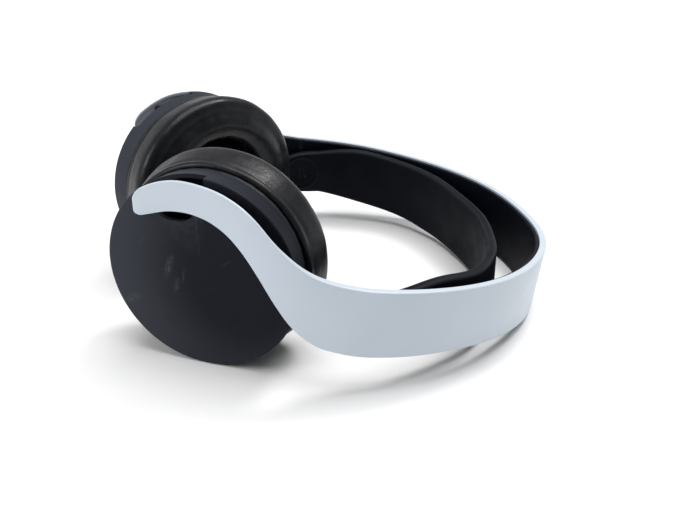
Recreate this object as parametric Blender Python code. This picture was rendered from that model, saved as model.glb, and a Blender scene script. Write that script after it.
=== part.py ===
"""Wireless over-ear gaming headset, lying front side up with its head band spread round it.

+X points from the ear cups to the top of the head band, +Y to the wearer's right cup and +Z to the wearer's
front. The origin is the middle of the bounding box, on the surface that the headset lies on. Sizes are in
millimetres; new_object turns them into metres. The right half is modelled and the left half mirrors it.
"""

import math

import bmesh
import bpy
import numpy as np
from mathutils import Matrix, Vector

METRES = 0.001
SAME_POINT = 1e-7  # metres
SHARP_ANGLE = 35.0  # degrees: a sharper crease than this stays an edge when the object is shaded smooth

# Driving sizes of the head band.
BAND_HALF_LENGTH = 101.3  # from the band's widest place to its apex
BAND_HALF_WIDTH = 94.5
BAND_WIDEST_X = 1.7
BAND_WALL = 1.8  # the white outer shell
BAND_RIM_DEPTH = 3.2  # how far its rims turn in towards the head
BAND_RIM_HEIGHT = 1.6
BAND_EDGE = 0.9  # rounding of the outer shell's edges
INNER_SHELL = 1.5
INNER_SHELL_STEP = 0.9  # how far it sits below the rims
FIT = 0.3  # gap between pieces that touch
CORNER = 0.3  # a rounded corner's middle point sits this share of the rounding in from the corner

# Heights of the band's two edges, as (place, height). Place runs 0 at the apex, 1 where the arch ends, and
# 2 at the tip of the arm that crosses the ear cup. Arm heights are shares of the cup's radius.
ARCH_TOP = ((0.0, 29.8), (0.30, 33.1), (0.54, 36.8), (0.80, 42.6), (1.0, 47.2))
ARCH_BOTTOM = ((0.0, 0.0), (0.12, 0.0), (0.27, 1.3), (0.50, 5.7), (0.745, 12.0), (0.94, 15.9))
ARM_TOP = ((1.13, 1.18), (1.20, 1.24), (1.26, 1.32), (1.32, 1.43), (1.38, 1.56), (1.44, 1.71))
ARM_TOP += ((1.50, 1.82), (1.58, 1.91), (1.70, 1.97), (1.82, 1.97), (1.91, 1.91), (2.0, 1.80))
ARM_BOTTOM = ((1.11, 0.46), (1.23, 0.57), (1.32, 0.76), (1.38, 0.96), (1.44, 1.18), (1.50, 1.37))
ARM_BOTTOM += ((1.56, 1.51), (1.63, 1.61), (1.73, 1.67), (1.84, 1.66), (1.93, 1.60), (2.0, 1.55))
BAND_LEAN = ((0.0, 4.3), (0.5, 3.2), (0.95, 0.0), (2.0, 0.0))  # how far the lower edge is tucked in
ARM_STANDOFF = 3.8  # outer face of the arm's tip above the cup's disc
ARM_WALL = 0.9
ARM_RIM_DEPTH = 1.2
ARM_INNER_SHELL = 0.7
ARM_THINS_FROM, ARM_THINS_TO = 1.12, 1.42
ARM_TIP_REACH = 26.6  # tip beyond the disc's centre
ARM_TIP_RADIUS = 4.5
ARM_TIP_ROUND = 0.92  # share of that radius that the tip's rounding takes up
ARCH_END_ANGLE = 92.3  # degrees round the arch's ellipse
ARM_START_PULL, ARM_END_PULL = 41.0, 59.0  # how straight the curve between arch and arm starts and ends

SPRING_STRIP = (0.6, 12.0)  # thickness and height
HARNESS_RADIUS = 0.5
HARNESS_ABOVE_STRIP = 2.0
ARCH_STEPS, ARM_STEPS = 12, 15  # sections along each half of the band
SPRING_STRIP_STEPS = 9
HARNESS_ARM_STEPS = 2
INNER_SHELL_ARM_STEPS = 11  # the inner shell stops before the pivot mount

# The elastic strap that rests on the head.
STRAP_THICKNESS = 5.0
STRAP_STEPS = 10
STRAP_EDGE = 1.9
STRAP_GAP = ((0.0, 26.1), (0.227, 24.6), (0.43, 17.9), (0.605, 11.6), (0.776, 9.4))  # behind the band's face
STRAP_END_CLEARANCE = 0.6
STRAP_TOP = ((0.0, 33.8), (0.227, 34.8), (0.43, 36.7), (0.605, 38.5), (0.776, 42.0), (0.933, 40.5))
STRAP_BOTTOM = ((0.0, 0.5), (0.227, 1.7), (0.43, 2.9), (0.605, 6.6), (0.776, 11.5), (0.933, 16.7))
TONGUE_STARTS, TONGUE_ENDS = 0.945, 1.19
ANCHOR_PLACE = 1.0
ANCHOR_RADIUS = 3.0
ANCHOR_LENGTH = 2.6
ANCHOR_SCREW_RADIUS = 0.8
ANCHOR_SCREW_HEAD = (1.7, 0.8)
ANCHOR_BORE_END = 0.8  # thickness left at the end of the stud

# The ear cups. Their own frame has X towards the apex, Y out of the disc and Z up, with its origin in the
# middle of the disc.
CUP_RADIUS = 43.0
CUP_SCALE = CUP_RADIUS / 43.0  # for what has to shrink or grow with the cup
CUP_TOE_IN = 29.8
CUP_RIM_LEAD = (-28.7, 80.6)  # where the disc's leading rim stands, beside the band
COVER_DEPTH = 10.6
COVER_BACK_RADIUS = 41.9 * CUP_SCALE
COVER_WALL = 2.0
COVER_EDGE = 0.8
POCKET = (-10.0, CUP_RADIUS - 11.7, 9.2, 8.6)  # middle and half sizes of the opening that the pivot enters
ARM_NOTCH = (-29.5, 4.0)  # where the cover's rim is cut back behind the arm, from X to X
NOTCH_DEPTH, NOTCH_BOTTOM = 3.8, CUP_RADIUS - 12.0
BOSS_RADIUS, BOSS_HOLE = 2.4, 1.1
SCREW_PLACES = (30.0, 165.0, 270.0)
SCREW_RING = CUP_RADIUS - 8.0
SCREW_RADIUS, SCREW_HEAD = 0.9, (2.0, 1.2)

CHASSIS_THICKNESS = 2.4
CHASSIS_FLANGE = 1.7  # how far its flange stands out past the part inside the cover
DRIVER_RADIUS = 21.0
DRIVER_HEIGHT = 5.6
MAGNET_RADIUS, MAGNET_HEIGHT = 9.0, 4.6
BAFFLE_THICKNESS = 1.5
BAFFLE_OPENING = 18.5
PAD_RING_THICKNESS = 1.5
PAD_RING_OPENING = 28.0
CLOTH_THICKNESS = 0.4

CUSHION_DEPTH = 20.0  # from the chassis to the face that meets the head
CUSHION_BULGE = 3.2  # how far it swells past the disc's radius
CUSHION_HOLE = 24.5

# The two-axis pivot between arm and cup.
PIVOT_X = -9.0
PIVOT_Z = CUP_RADIUS - 10.5
PIVOT_DEPTH = 6.2
RING_HALF = (6.0, 1.5, 4.0)  # half sizes of the gimbal ring
RING_WINDOW = (3.3, 2.5)
TRUNNION_RADIUS, TRUNNION_LENGTH = 1.2, 1.9
PIN_RADIUS = 1.0
PIN_PLAY = 0.15
MOUNT_HALF = (2.6, 2.1)
MOUNT_PLATE = (6.0, 0.8, 3.4)  # half width, thickness, half height
MOUNT_PLATE_RISE = 2.0
MOUNT_BELOW_PIVOT = 1.8
LUG_THICKNESS, LUG_HALF_WIDTH = 2.0, 2.2
LUG_ABOVE_PIVOT = 2.3

# Controls in the left cup's side wall: name, place round the rim in degrees, length along it, width. Each
# keeps its share of the rim.
CONTROL_DEPTH = 6.3
CONTROL_PROUD = 0.6
CONTROL_CHAMFER = 0.4
BUTTONS = (("mute_button", -153.0, 8.6 * CUP_SCALE, 4.2), ("monitor_button", -168.5, 7.0 * CUP_SCALE, 4.2))
ROCKER_LENGTH = 13.0 * CUP_SCALE
ROCKERS = (("volume_rocker", -185.0, ROCKER_LENGTH, 4.2), ("balance_rocker", -205.0, ROCKER_LENGTH, 4.2))
POWER_SLIDER = (-138.5, 3.2, 3.0)
POWER_TRAVEL = 3.0
CONTROL_FLANGE = (38.6 * CUP_SCALE, 0.8, 0.8)  # inner radius, thickness and overhang
USB_PLACE, USB_SIZE, USB_MOUTH = -107.0, (9.0, 3.4, 7.0), (8.2, 2.5, 5.5)
JACK_PLACE, JACK_RADIUS, JACK_BORE, JACK_LENGTH = -121.0, 2.5, 1.75, 9.0
LENS_PLACE, LENS_RADIUS = -129.0, 0.8
MICROPHONES = (("microphone_lower", -94.0), ("microphone_upper", 138.0))
MIC_RADIUS, MIC_HEIGHT, MIC_PORT = 2.0, 1.2, 0.6

# Plates behind the disc: half width, lower edge, upper edge, thickness.
BOARD = (26.0 * CUP_SCALE, -28.0 * CUP_SCALE, 17.0 * CUP_SCALE, 1.0)
BATTERY = (20.0 * CUP_SCALE, -30.0 * CUP_SCALE, -15.8, 5.0 * CUP_SCALE)
BOARD_DEPTH = 3.0  # both start this far behind the disc's face


# ---------------------------------------------------------------------------------------------------------
# Shapes. Each function returns points in millimetres and faces.


def smooth_curve(knots, place):
    """The value at a place on a smooth curve through (place, value) knots, level at its first knot."""
    at, value = np.array(knots, float).T
    slope = np.gradient(value, at)
    slope[0] = 0.0
    place = min(max(place, at[0]), at[-1])
    i = min(int(np.searchsorted(at, place, side="right")) - 1, len(at) - 2)
    span = at[i + 1] - at[i]
    t = (place - at[i]) / span
    start = (1 + 2 * t) * (1 - t) ** 2 * value[i] + t * (1 - t) ** 2 * span * slope[i]
    end = t * t * (3 - 2 * t) * value[i + 1] + t * t * (t - 1) * span * slope[i + 1]
    return float(start + end)


def swept(rings):
    """A solid through rings that hold the same number of points, capped at both ends."""
    count = len(rings[0])
    points = [tuple(point) for ring in rings for point in ring]
    faces = []
    for r in range(len(rings) - 1):
        a, b = r * count, (r + 1) * count
        for i in range(count):
            j = (i + 1) % count
            faces.append((a + i, a + j, b + j, b + i))
    faces.append(tuple(range(count)))
    faces.append(tuple(range((len(rings) - 1) * count, len(rings) * count)))
    return points, faces


def turned(profile, segments, centre=(0.0, 0.0)):
    """A solid turned about a line along Y, from (radius, y) points. One that starts and ends at radius 0
    is solid through the middle, and any other profile is a closed ring."""
    points, rings = [], []
    for radius, y in profile:
        if radius == 0:
            rings.append([len(points)] * segments)
            points.append((centre[0], y, centre[1]))
            continue
        rings.append(list(range(len(points), len(points) + segments)))
        for i in range(segments):
            angle = 2 * math.pi * i / segments
            x, z = radius * math.cos(angle), radius * math.sin(angle)
            points.append((centre[0] + x, y, centre[1] + z))
    pairs = list(zip(rings, rings[1:]))
    if profile[0][0] > 0 or profile[-1][0] > 0:
        pairs.append((rings[-1], rings[0]))
    faces = []
    for a, b in pairs:
        for i in range(segments):
            j = (i + 1) % segments
            corners = tuple(dict.fromkeys((a[i], a[j], b[j], b[i])))
            if len(corners) > 2:
                faces.append(corners)
    return points, faces


def rod_profile(radius, start, end):
    """Profile of a plain round rod, to be turned."""
    return (0, start), (radius, start), (radius, end), (0, end)


def extruded(outline, low, high):
    """An outline of (x, z) points, extruded along Y."""
    return swept([[(x, low, z) for x, z in outline], [(x, high, z) for x, z in outline]])


def rounded_outline(half_x, half_z, radius, centre=(0.0, 0.0), steps=3):
    """A rectangle with round corners, as (x, z) points."""
    outline = []
    for corner in range(4):
        sx = 1 if corner in (0, 3) else -1
        sz = 1 if corner in (0, 1) else -1
        for step in range(steps + 1):
            angle = math.pi / 2 * (corner + step / steps)
            x = centre[0] + sx * (half_x - radius) + radius * math.cos(angle)
            z = centre[1] + sz * (half_z - radius) + radius * math.sin(angle)
            outline.append((x, z))
    return outline


def box(low, high):
    """A plain block between two corners."""
    outline = [(low[0], low[2]), (high[0], low[2]), (high[0], high[2]), (low[0], high[2])]
    return extruded(outline, low[1], high[1])


def rod(radius, start, end, segments=12):
    """A round rod between two points."""
    start, end = Vector(start), Vector(end)
    turn = (end - start).to_track_quat("Z", "X").to_matrix()
    rings = []
    for base in (start, end):
        ring = []
        for i in range(segments):
            angle = 2 * math.pi * (i + 0.5) / segments
            corner = Vector((math.cos(angle), math.sin(angle), 0.0)) * radius
            ring.append(base + turn @ corner)
        rings.append(ring)
    return swept(rings)


def rim_block(section, place, length, radius, steps=4):
    """A block that follows the cup's rim: its (radius, y) section swept round from a place in degrees."""
    half = math.degrees(length / 2 / radius)
    rings = []
    for step in range(steps + 1):
        angle = math.radians(place - half + 2 * half * step / steps)
        rings.append([(r * math.cos(angle), y, r * math.sin(angle)) for r, y in section])
    return swept(rings)


def rim_point(place, radius, y=0.0):
    """A point at a place in degrees round the cup."""
    angle = math.radians(place)
    return (radius * math.cos(angle), y, radius * math.sin(angle))


def turned_round(shape, place):
    """A shape turned about the cup's axis, so that its X points out at a place in degrees."""
    points, faces = shape
    turn = Matrix.Rotation(-math.radians(place), 3, "Y")
    return [tuple(turn @ Vector(point)) for point in points], faces


# ---------------------------------------------------------------------------------------------------------
# Objects and finishes.


def clear_scene():
    for obj in list(bpy.data.objects):
        bpy.data.objects.remove(obj, do_unlink=True)


def finish(name, colour, roughness, metallic=0.0):
    material = bpy.data.materials.new(name)
    material.use_nodes = True
    shader = material.node_tree.nodes["Principled BSDF"]
    shader.inputs["Base Color"].default_value = (*colour, 1.0)
    shader.inputs["Roughness"].default_value = roughness
    shader.inputs["Metallic"].default_value = metallic
    material.diffuse_color = (*colour, 1.0)
    return material


def empty(name, place, turn=0.0, parent=None):
    """An axis or frame: place in millimetres in its parent, turned about Z in degrees."""
    obj = bpy.data.objects.new(name, None)
    obj.empty_display_size = 0.01
    obj.location = Vector(place) * METRES
    obj.rotation_euler = (0.0, 0.0, math.radians(turn))
    obj.parent = parent
    bpy.context.collection.objects.link(obj)
    return obj


def new_object(name, shape, material=None, frame=None, left=False, origin=(0.0, 0.0, 0.0)):
    """An object from a shape given in its frame, with its own origin there. The left half mirrors Y."""
    points, faces = shape
    side = np.array((1.0, -1.0 if left else 1.0, 1.0))
    points = (np.array(points) - origin) * side * METRES
    mesh = bpy.data.meshes.new(name)
    mesh.from_pydata(points.tolist(), [], faces)
    shell = bmesh.new()
    shell.from_mesh(mesh)
    bmesh.ops.remove_doubles(shell, verts=shell.verts, dist=SAME_POINT)
    bmesh.ops.recalc_face_normals(shell, faces=shell.faces)
    shell.to_mesh(mesh)
    shell.free()
    mesh.shade_smooth()
    mesh.set_sharp_from_angle(angle=math.radians(SHARP_ANGLE))
    obj = bpy.data.objects.new(name, mesh)
    obj.location = np.array(origin) * side * METRES
    obj.parent = frame
    if material:
        mesh.materials.append(material)
    bpy.context.collection.objects.link(obj)
    return obj


def combine(target, operation, shape, frame=None, left=False):
    """Cuts a shape out of an object, or joins it on, with a Boolean and a hidden helper."""
    number = len(target.modifiers)
    helper = new_object(f"{target.name}_{operation.lower()}_{number}", shape, None, frame, left)
    helper.hide_render = True
    helper.display_type = "WIRE"
    modifier = target.modifiers.new(f"{operation.lower()}_{number}", "BOOLEAN")
    modifier.operation = operation
    modifier.solver = "EXACT"
    modifier.object = helper


# ---------------------------------------------------------------------------------------------------------
# The line of the head band.


def cup_frame_axes():
    """The right cup's X and Y axes and the middle of its disc, in plan."""
    turn = math.radians(CUP_TOE_IN)
    along = np.array((math.cos(turn), math.sin(turn)))
    out = np.array((-math.sin(turn), math.cos(turn)))
    return along, out, np.array(CUP_RIM_LEAD) - CUP_RADIUS * along


CUP_ALONG, CUP_OUT, CUP_CENTRE = cup_frame_axes()
CUP_HEIGHT = CUP_RADIUS


def band_plan(samples=240):
    """Places, points and inward directions along the right half of the band's outer face, in plan."""
    angles = np.radians(np.linspace(0.0, ARCH_END_ANGLE, samples))
    along = BAND_WIDEST_X + BAND_HALF_LENGTH * np.cos(angles)
    arch = np.stack((along, BAND_HALF_WIDTH * np.sin(angles)), axis=1)
    leaving = arch[-1] - arch[-2]
    leaving /= np.hypot(*leaving)
    tip = CUP_CENTRE - ARM_TIP_REACH * CUP_ALONG + ARM_STANDOFF * CUP_OUT
    handles = (arch[-1], arch[-1] + ARM_START_PULL * leaving, tip + ARM_END_PULL * CUP_ALONG, tip)
    t = np.linspace(0.0, 1.0, samples)[:, None]
    shares = ((1 - t) ** 3, 3 * t * (1 - t) ** 2, 3 * t * t * (1 - t), t**3)
    arm = sum(share * handle for share, handle in zip(shares, handles))
    places, points = [], []
    for line, offset in ((arch, 0.0), (arm, 1.0)):
        run = np.append(0.0, np.cumsum(np.hypot(*np.diff(line, axis=0).T)))
        places.append(offset + run / run[-1])
        points.append(line)
    points = np.concatenate((points[0], points[1][1:]))
    direction = np.gradient(points, axis=0)
    direction /= np.hypot(*direction.T)[:, None]
    inward = np.stack((-direction[:, 1], direction[:, 0]), axis=1)
    return np.concatenate((places[0], places[1][1:])), points, inward, run[-1]


PLAN_PLACES, PLAN_POINTS, PLAN_INWARD, ARM_LENGTH = band_plan()


def plan_at(place):
    """The band's outer face and inward direction in plan. Places on the left half are negative."""
    at = abs(place)
    side = -1.0 if place < 0 else 1.0
    point = [np.interp(at, PLAN_PLACES, PLAN_POINTS[:, k]) for k in (0, 1)]
    inward = [np.interp(at, PLAN_PLACES, PLAN_INWARD[:, k]) for k in (0, 1)]
    return np.array((point[0], point[1] * side)), np.array((inward[0], inward[1] * side))


def arm_heights(shares):
    return tuple((place, share * CUP_RADIUS) for place, share in shares)


BAND_TOP = ARCH_TOP + arm_heights(ARM_TOP)
BAND_BOTTOM = ARCH_BOTTOM + arm_heights(ARM_BOTTOM)


def band_edges(place):
    """Heights of the band's lower and upper edge at a place, drawn in round the arm's tip."""
    at = abs(place)
    top = smooth_curve(BAND_TOP, at)
    bottom = max(smooth_curve(BAND_BOTTOM, at), 0.0)
    into_tip = ARM_TIP_RADIUS * ARM_TIP_ROUND - (2.0 - at) * ARM_LENGTH
    if into_tip > 0:
        drawn_in = ARM_TIP_RADIUS - math.sqrt(ARM_TIP_RADIUS**2 - into_tip**2)
        top -= drawn_in
        bottom += drawn_in
    return bottom, top


def on_band(place, depth, z):
    """The point this far inside the band's outer face, at a height."""
    point, inward = plan_at(place)
    bottom, top = band_edges(place)
    depth += smooth_curve(BAND_LEAN, abs(place)) * (top - z) / (top - bottom)
    return (*(point + depth * inward), z)


def thinned(place, full, thin):
    """A thickness that falls from the band's to the arm's where the arm nears the cup."""
    share = (abs(place) - ARM_THINS_FROM) / (ARM_THINS_TO - ARM_THINS_FROM)
    share = min(max(share, 0.0), 1.0)
    return full + (thin - full) * share * share * (3 - 2 * share)


def mirrored(places):
    """Places of the left half, mirrored, before those of the right half, which start at the apex."""
    return [-place for place in reversed(places[1:])] + places


def band_places(arch_steps=ARCH_STEPS, arm_steps=ARM_STEPS, tip_steps=3):
    """Sections from tip to tip, or to shorter ends that share the outer shell's sections."""
    tip_starts = 2.0 - ARM_TIP_RADIUS / ARM_LENGTH
    places = [step / ARCH_STEPS for step in range(arch_steps + 1)]
    places += [1.0 + (tip_starts - 1.0) * step / ARM_STEPS for step in range(1, arm_steps + 1)]
    for step in range(1, tip_steps + 1):
        places.append(tip_starts + (2.0 - tip_starts) * math.sin(math.pi / 2 * step / tip_steps))
    return mirrored(places)


def rounded_section(first, last, bottom, top, edge):
    """A rectangle of (depth, height) points with its four corners rounded."""
    small = edge * CORNER
    section = [(first, bottom + edge), (first, top - edge), (first + small, top - small)]
    section += [(first + edge, top), (last - edge, top), (last - small, top - small)]
    section += [(last, top - edge), (last, bottom + edge), (last - small, bottom + small)]
    return section + [(last - edge, bottom), (first + edge, bottom), (first + small, bottom + small)]


# ---------------------------------------------------------------------------------------------------------
# The band's pieces, all in the root body.


def make_outer_shell(material):
    """White moulded shell: a wall with rims that turn in, thinning to a shallow tray along each arm."""
    rings = []
    for place in band_places():
        bottom, top = band_edges(place)
        wall = thinned(place, BAND_WALL, ARM_WALL)
        rim = thinned(place, BAND_RIM_DEPTH, ARM_RIM_DEPTH)
        edge = min(BAND_EDGE, rim * 0.6)
        small = edge * CORNER
        inside_top, inside_bottom = top - BAND_RIM_HEIGHT, bottom + BAND_RIM_HEIGHT
        section = [(0, bottom + edge), (0, top - edge), (small, top - small), (edge, top), (rim, top)]
        section += [(rim, inside_top), (wall, inside_top), (wall, inside_bottom), (rim, inside_bottom)]
        section += [(rim, bottom), (edge, bottom), (small, bottom + small)]
        rings.append([on_band(place, depth, z) for depth, z in section])
    return new_object("band_outer_shell", swept(rings), material)


def inner_shell_depths(place):
    """Outer and inner face of the black inner shell behind the band's outer face."""
    start = thinned(place, BAND_RIM_DEPTH, ARM_RIM_DEPTH) + FIT
    return start, start + thinned(place, INNER_SHELL, ARM_INNER_SHELL)


def make_inner_shell(material):
    """Black moulded shell that closes the band's head side and ends before the pivot mounts."""
    rings = []
    for place in band_places(arm_steps=INNER_SHELL_ARM_STEPS, tip_steps=0):
        bottom, top = band_edges(place)
        bottom += INNER_SHELL_STEP
        top -= INNER_SHELL_STEP
        start, inner = inner_shell_depths(place)
        edge = (inner - start) * 0.4
        section = [(start, bottom), (start, top), (inner - edge, top), (inner, top - edge)]
        section += [(inner, bottom + edge), (inner - edge, bottom)]
        rings.append([on_band(place, depth, z) for depth, z in section])
    shell = new_object("band_inner_shell", swept(rings), material)
    hole = rod_profile(ANCHOR_SCREW_RADIUS + FIT, 0.0, inner_shell_depths(ANCHOR_PLACE)[1] + 1.0)
    for left in (False, True):
        combine(shell, "DIFFERENCE", turned_on_band(hole, 8), None, left)


def make_spring_strip(material):
    """Spring steel strip between the shells, which gives the band its clamp force."""
    thickness, height = SPRING_STRIP
    start = BAND_WALL + FIT
    rings = []
    for place in band_places(arch_steps=SPRING_STRIP_STEPS, arm_steps=0, tip_steps=0):
        middle = sum(band_edges(place)) / 2
        section = ((start, -height / 2), (start, height / 2))
        section += ((start + thickness, height / 2), (start + thickness, -height / 2))
        rings.append([on_band(place, depth, middle + z) for depth, z in section])
    return new_object("band_spring_strip", swept(rings), material)


def make_harness(material):
    """The flat cable run between the cups, shown as one round sheath clipped above the spring strip."""
    depth = (BAND_WALL + BAND_RIM_DEPTH + FIT) / 2
    rings = []
    for place in band_places(arm_steps=HARNESS_ARM_STEPS, tip_steps=0):
        middle = sum(band_edges(place)) / 2 + SPRING_STRIP[1] / 2 + HARNESS_ABOVE_STRIP
        ring = []
        for i in range(6):
            angle = math.radians(60 * i)
            across, up = HARNESS_RADIUS * math.cos(angle), HARNESS_RADIUS * math.sin(angle)
            ring.append(on_band(place, depth + across, middle + up))
        rings.append(ring)
    return new_object("band_harness", swept(rings), material)


def strap_half_height(place):
    """Middle and half height of the strap at a place, with a round tongue at each end."""
    at = abs(place)
    top, bottom = smooth_curve(STRAP_TOP, at), smooth_curve(STRAP_BOTTOM, at)
    half = (top - bottom) / 2
    into_tongue = (at - TONGUE_STARTS) / (TONGUE_ENDS - TONGUE_STARTS)
    if into_tongue > 0:
        half *= math.sqrt(max(1.0 - into_tongue**2, 0.0))
    return (top + bottom) / 2, half


def strap_outer_depth(place):
    tongue = BAND_RIM_DEPTH + FIT + INNER_SHELL + STRAP_END_CLEARANCE
    return smooth_curve((*STRAP_GAP, (0.933, tongue + 1.0), (TONGUE_ENDS, tongue)), abs(place))


def turned_on_band(profile, segments):
    """A shape turned about the line straight in through the strap's anchor, from (radius, depth) points."""
    point, inward = plan_at(ANCHOR_PLACE)
    tangent = np.array((-inward[1], inward[0]))
    middle = strap_half_height(ANCHOR_PLACE)[0]
    points, faces = turned(profile, segments)
    placed = []
    for x, depth, z in points:
        plan = point + depth * inward + x * tangent
        placed.append((plan[0], plan[1], middle + z))
    return placed, faces


def make_strap(material):
    """Moulded elastic strap, an even band with a round tongue over the anchor at each end."""
    places = [TONGUE_STARTS * step / STRAP_STEPS for step in range(STRAP_STEPS + 1)]
    for angle in (25, 45, 62, 76):
        places.append(TONGUE_STARTS + (TONGUE_ENDS - TONGUE_STARTS) * math.sin(math.radians(angle)))
    rings = []
    for place in mirrored(places):
        middle, half = strap_half_height(place)
        point, inward = plan_at(place)
        edge = min(STRAP_EDGE, half * 0.6)
        outer = strap_outer_depth(place)
        section = rounded_section(outer, outer + STRAP_THICKNESS, middle - half, middle + half, edge)
        rings.append([(*(point + depth * inward), z) for depth, z in section])
    strap = new_object("suspension_strap", swept(rings), material)
    hollow = rod_profile(ANCHOR_RADIUS + FIT, 0.0, strap_outer_depth(ANCHOR_PLACE) + ANCHOR_LENGTH + FIT)
    for left in (False, True):
        combine(strap, "DIFFERENCE", turned_on_band(hollow, 16), None, left)


def make_anchor(side, left, stud_material, screw_material):
    """Round stud that holds the strap's end, and the screw that fastens it from inside the band."""
    face = inner_shell_depths(ANCHOR_PLACE)[1] + FIT
    end = strap_outer_depth(ANCHOR_PLACE) + ANCHOR_LENGTH
    bore, bore_end = ANCHOR_SCREW_RADIUS + FIT / 2, end - ANCHOR_BORE_END
    stud = ((0, bore_end), (bore, bore_end), (bore, face), (ANCHOR_RADIUS, face))
    stud += ((ANCHOR_RADIUS, end - 0.6), (ANCHOR_RADIUS - 0.6, end), (0, end))
    new_object(f"strap_anchor_{side}", turned_on_band(stud, 16), stud_material, None, left)
    seat = inner_shell_depths(ANCHOR_PLACE)[0] - FIT
    head_radius, head_height = ANCHOR_SCREW_HEAD
    screw = ((0, seat - head_height), (head_radius, seat - head_height), (head_radius, seat))
    screw += ((ANCHOR_SCREW_RADIUS, seat), (ANCHOR_SCREW_RADIUS, bore_end - 0.4), (0, bore_end - 0.4))
    new_object(f"strap_screw_{side}", turned_on_band(screw, 12), screw_material, None, left)


# ---------------------------------------------------------------------------------------------------------
# The ear cups.


def cover_radius(depth):
    """The cover's outer radius at a depth behind the disc, where its wall tapers inwards."""
    share = (depth - COVER_EDGE) / (COVER_DEPTH - COVER_EDGE)
    return CUP_RADIUS + (COVER_BACK_RADIUS - CUP_RADIUS) * min(max(share, 0.0), 1.0)


CHASSIS_BACK = COVER_DEPTH + FIT  # where the flange starts behind the cover's wall
CHASSIS_TOP = CHASSIS_BACK - 0.7
CHASSIS_END = CHASSIS_BACK + CHASSIS_THICKNESS - 0.7
BAFFLE_TOP = CHASSIS_END + FIT
PAD_RING_TOP = BAFFLE_TOP + BAFFLE_THICKNESS + FIT
CUSHION_BACK = PAD_RING_TOP + PAD_RING_THICKNESS + FIT
INSIDE_RADIUS = COVER_BACK_RADIUS - COVER_WALL - FIT


def screw_points():
    return [rim_point(place, SCREW_RING) for place in SCREW_PLACES]


def make_cover(side, left, frame, material):
    """Cap of the cup: a flat disc and a tapering side wall in one moulding, with three screw bosses, an
    opening for the pivot and a rim cut back behind the arm."""
    inside, back_inside = CUP_RADIUS - COVER_WALL, COVER_BACK_RADIUS - COVER_WALL
    small = COVER_EDGE * CORNER
    profile = ((0, 0), (CUP_RADIUS - COVER_EDGE, 0), (CUP_RADIUS - small, -small))
    profile += ((CUP_RADIUS, -COVER_EDGE), (COVER_BACK_RADIUS, -COVER_DEPTH), (back_inside, -COVER_DEPTH))
    profile += ((inside, -COVER_WALL - 1.0), (inside - 1.0, -COVER_WALL), (0, -COVER_WALL))
    cover = new_object(f"cup_cover_{side}", turned(profile, 48), material, frame, left)
    boss = rod_profile(BOSS_RADIUS, -COVER_WALL + 0.5, FIT - CHASSIS_TOP)
    hole = rod_profile(BOSS_HOLE, -COVER_WALL - 1.5, -CHASSIS_TOP - 1.0)
    for x, _, z in screw_points():
        combine(cover, "UNION", turned(boss, 12, (x, z)), frame, left)
        combine(cover, "DIFFERENCE", turned(hole, 8, (x, z)), frame, left)
    x, z, half_x, half_z = POCKET
    pocket = rounded_outline(half_x, half_z, half_z - 0.2, (x, z), 5)
    combine(cover, "DIFFERENCE", extruded(pocket, -COVER_WALL - 1.2, 2.0), frame, left)
    start, end = ARM_NOTCH
    notch = box((start, -NOTCH_DEPTH, NOTCH_BOTTOM), (end, 2.0, CUP_RADIUS + 3.0))
    combine(cover, "DIFFERENCE", notch, frame, left)
    return cover


def make_chassis(side, left, frame, material):
    """Plate that closes the cover and carries the rest: flange, driver seat, screw holes, pivot lugs."""
    seat = DRIVER_RADIUS + 1.5
    flange = INSIDE_RADIUS + CHASSIS_FLANGE + FIT
    profile = ((seat, -CHASSIS_TOP), (INSIDE_RADIUS, -CHASSIS_TOP), (INSIDE_RADIUS, -CHASSIS_BACK))
    profile += ((flange, -CHASSIS_BACK), (flange, -CHASSIS_END), (seat, -CHASSIS_END))
    chassis = new_object(f"cup_chassis_{side}", turned(profile, 40), material, frame, left)
    inner = RING_HALF[0] + FIT
    for way in (-1, 1):
        near, far = PIVOT_X + way * inner, PIVOT_X + way * (inner + LUG_THICKNESS)
        low = (min(near, far), -CHASSIS_TOP - 0.5, PIVOT_Z - LUG_HALF_WIDTH)
        high = (max(near, far), LUG_ABOVE_PIVOT - PIVOT_DEPTH, PIVOT_Z + LUG_HALF_WIDTH)
        combine(chassis, "UNION", box(low, high), frame, left)
        start = (near - way * 1.0, -PIVOT_DEPTH, PIVOT_Z)
        end = (far + way * 1.0, -PIVOT_DEPTH, PIVOT_Z)
        combine(chassis, "DIFFERENCE", rod(TRUNNION_RADIUS + PIN_PLAY, start, end), frame, left)
    for x, _, z in screw_points():
        through, sink = SCREW_RADIUS + FIT, SCREW_HEAD[0] + FIT
        seat_top = SCREW_HEAD[1] - CHASSIS_END
        hole = ((0, 0), (through, 0), (through, seat_top), (sink, seat_top))
        hole += ((sink, -CHASSIS_END - 1.0), (0, -CHASSIS_END - 1.0))
        combine(chassis, "DIFFERENCE", turned(hole, 9, (x, z)), frame, left)
    return chassis


def make_cover_screws(side, left, frame, material):
    """Three screws from the chassis into the cover's bosses, under the baffle."""
    head_radius, head_height = SCREW_HEAD
    under = head_height - CHASSIS_END - 0.1
    for number, (x, _, z) in enumerate(screw_points(), 1):
        tip = -COVER_WALL - 2.0
        profile = ((0, tip), (SCREW_RADIUS, tip), (SCREW_RADIUS, under), (head_radius, under))
        profile += ((head_radius, -CHASSIS_END), (0, -CHASSIS_END))
        screw = turned(profile, 8, (x, z))
        new_object(f"cover_screw_{side}_{number}", screw, material, frame, left, (x, 0, z))


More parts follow.
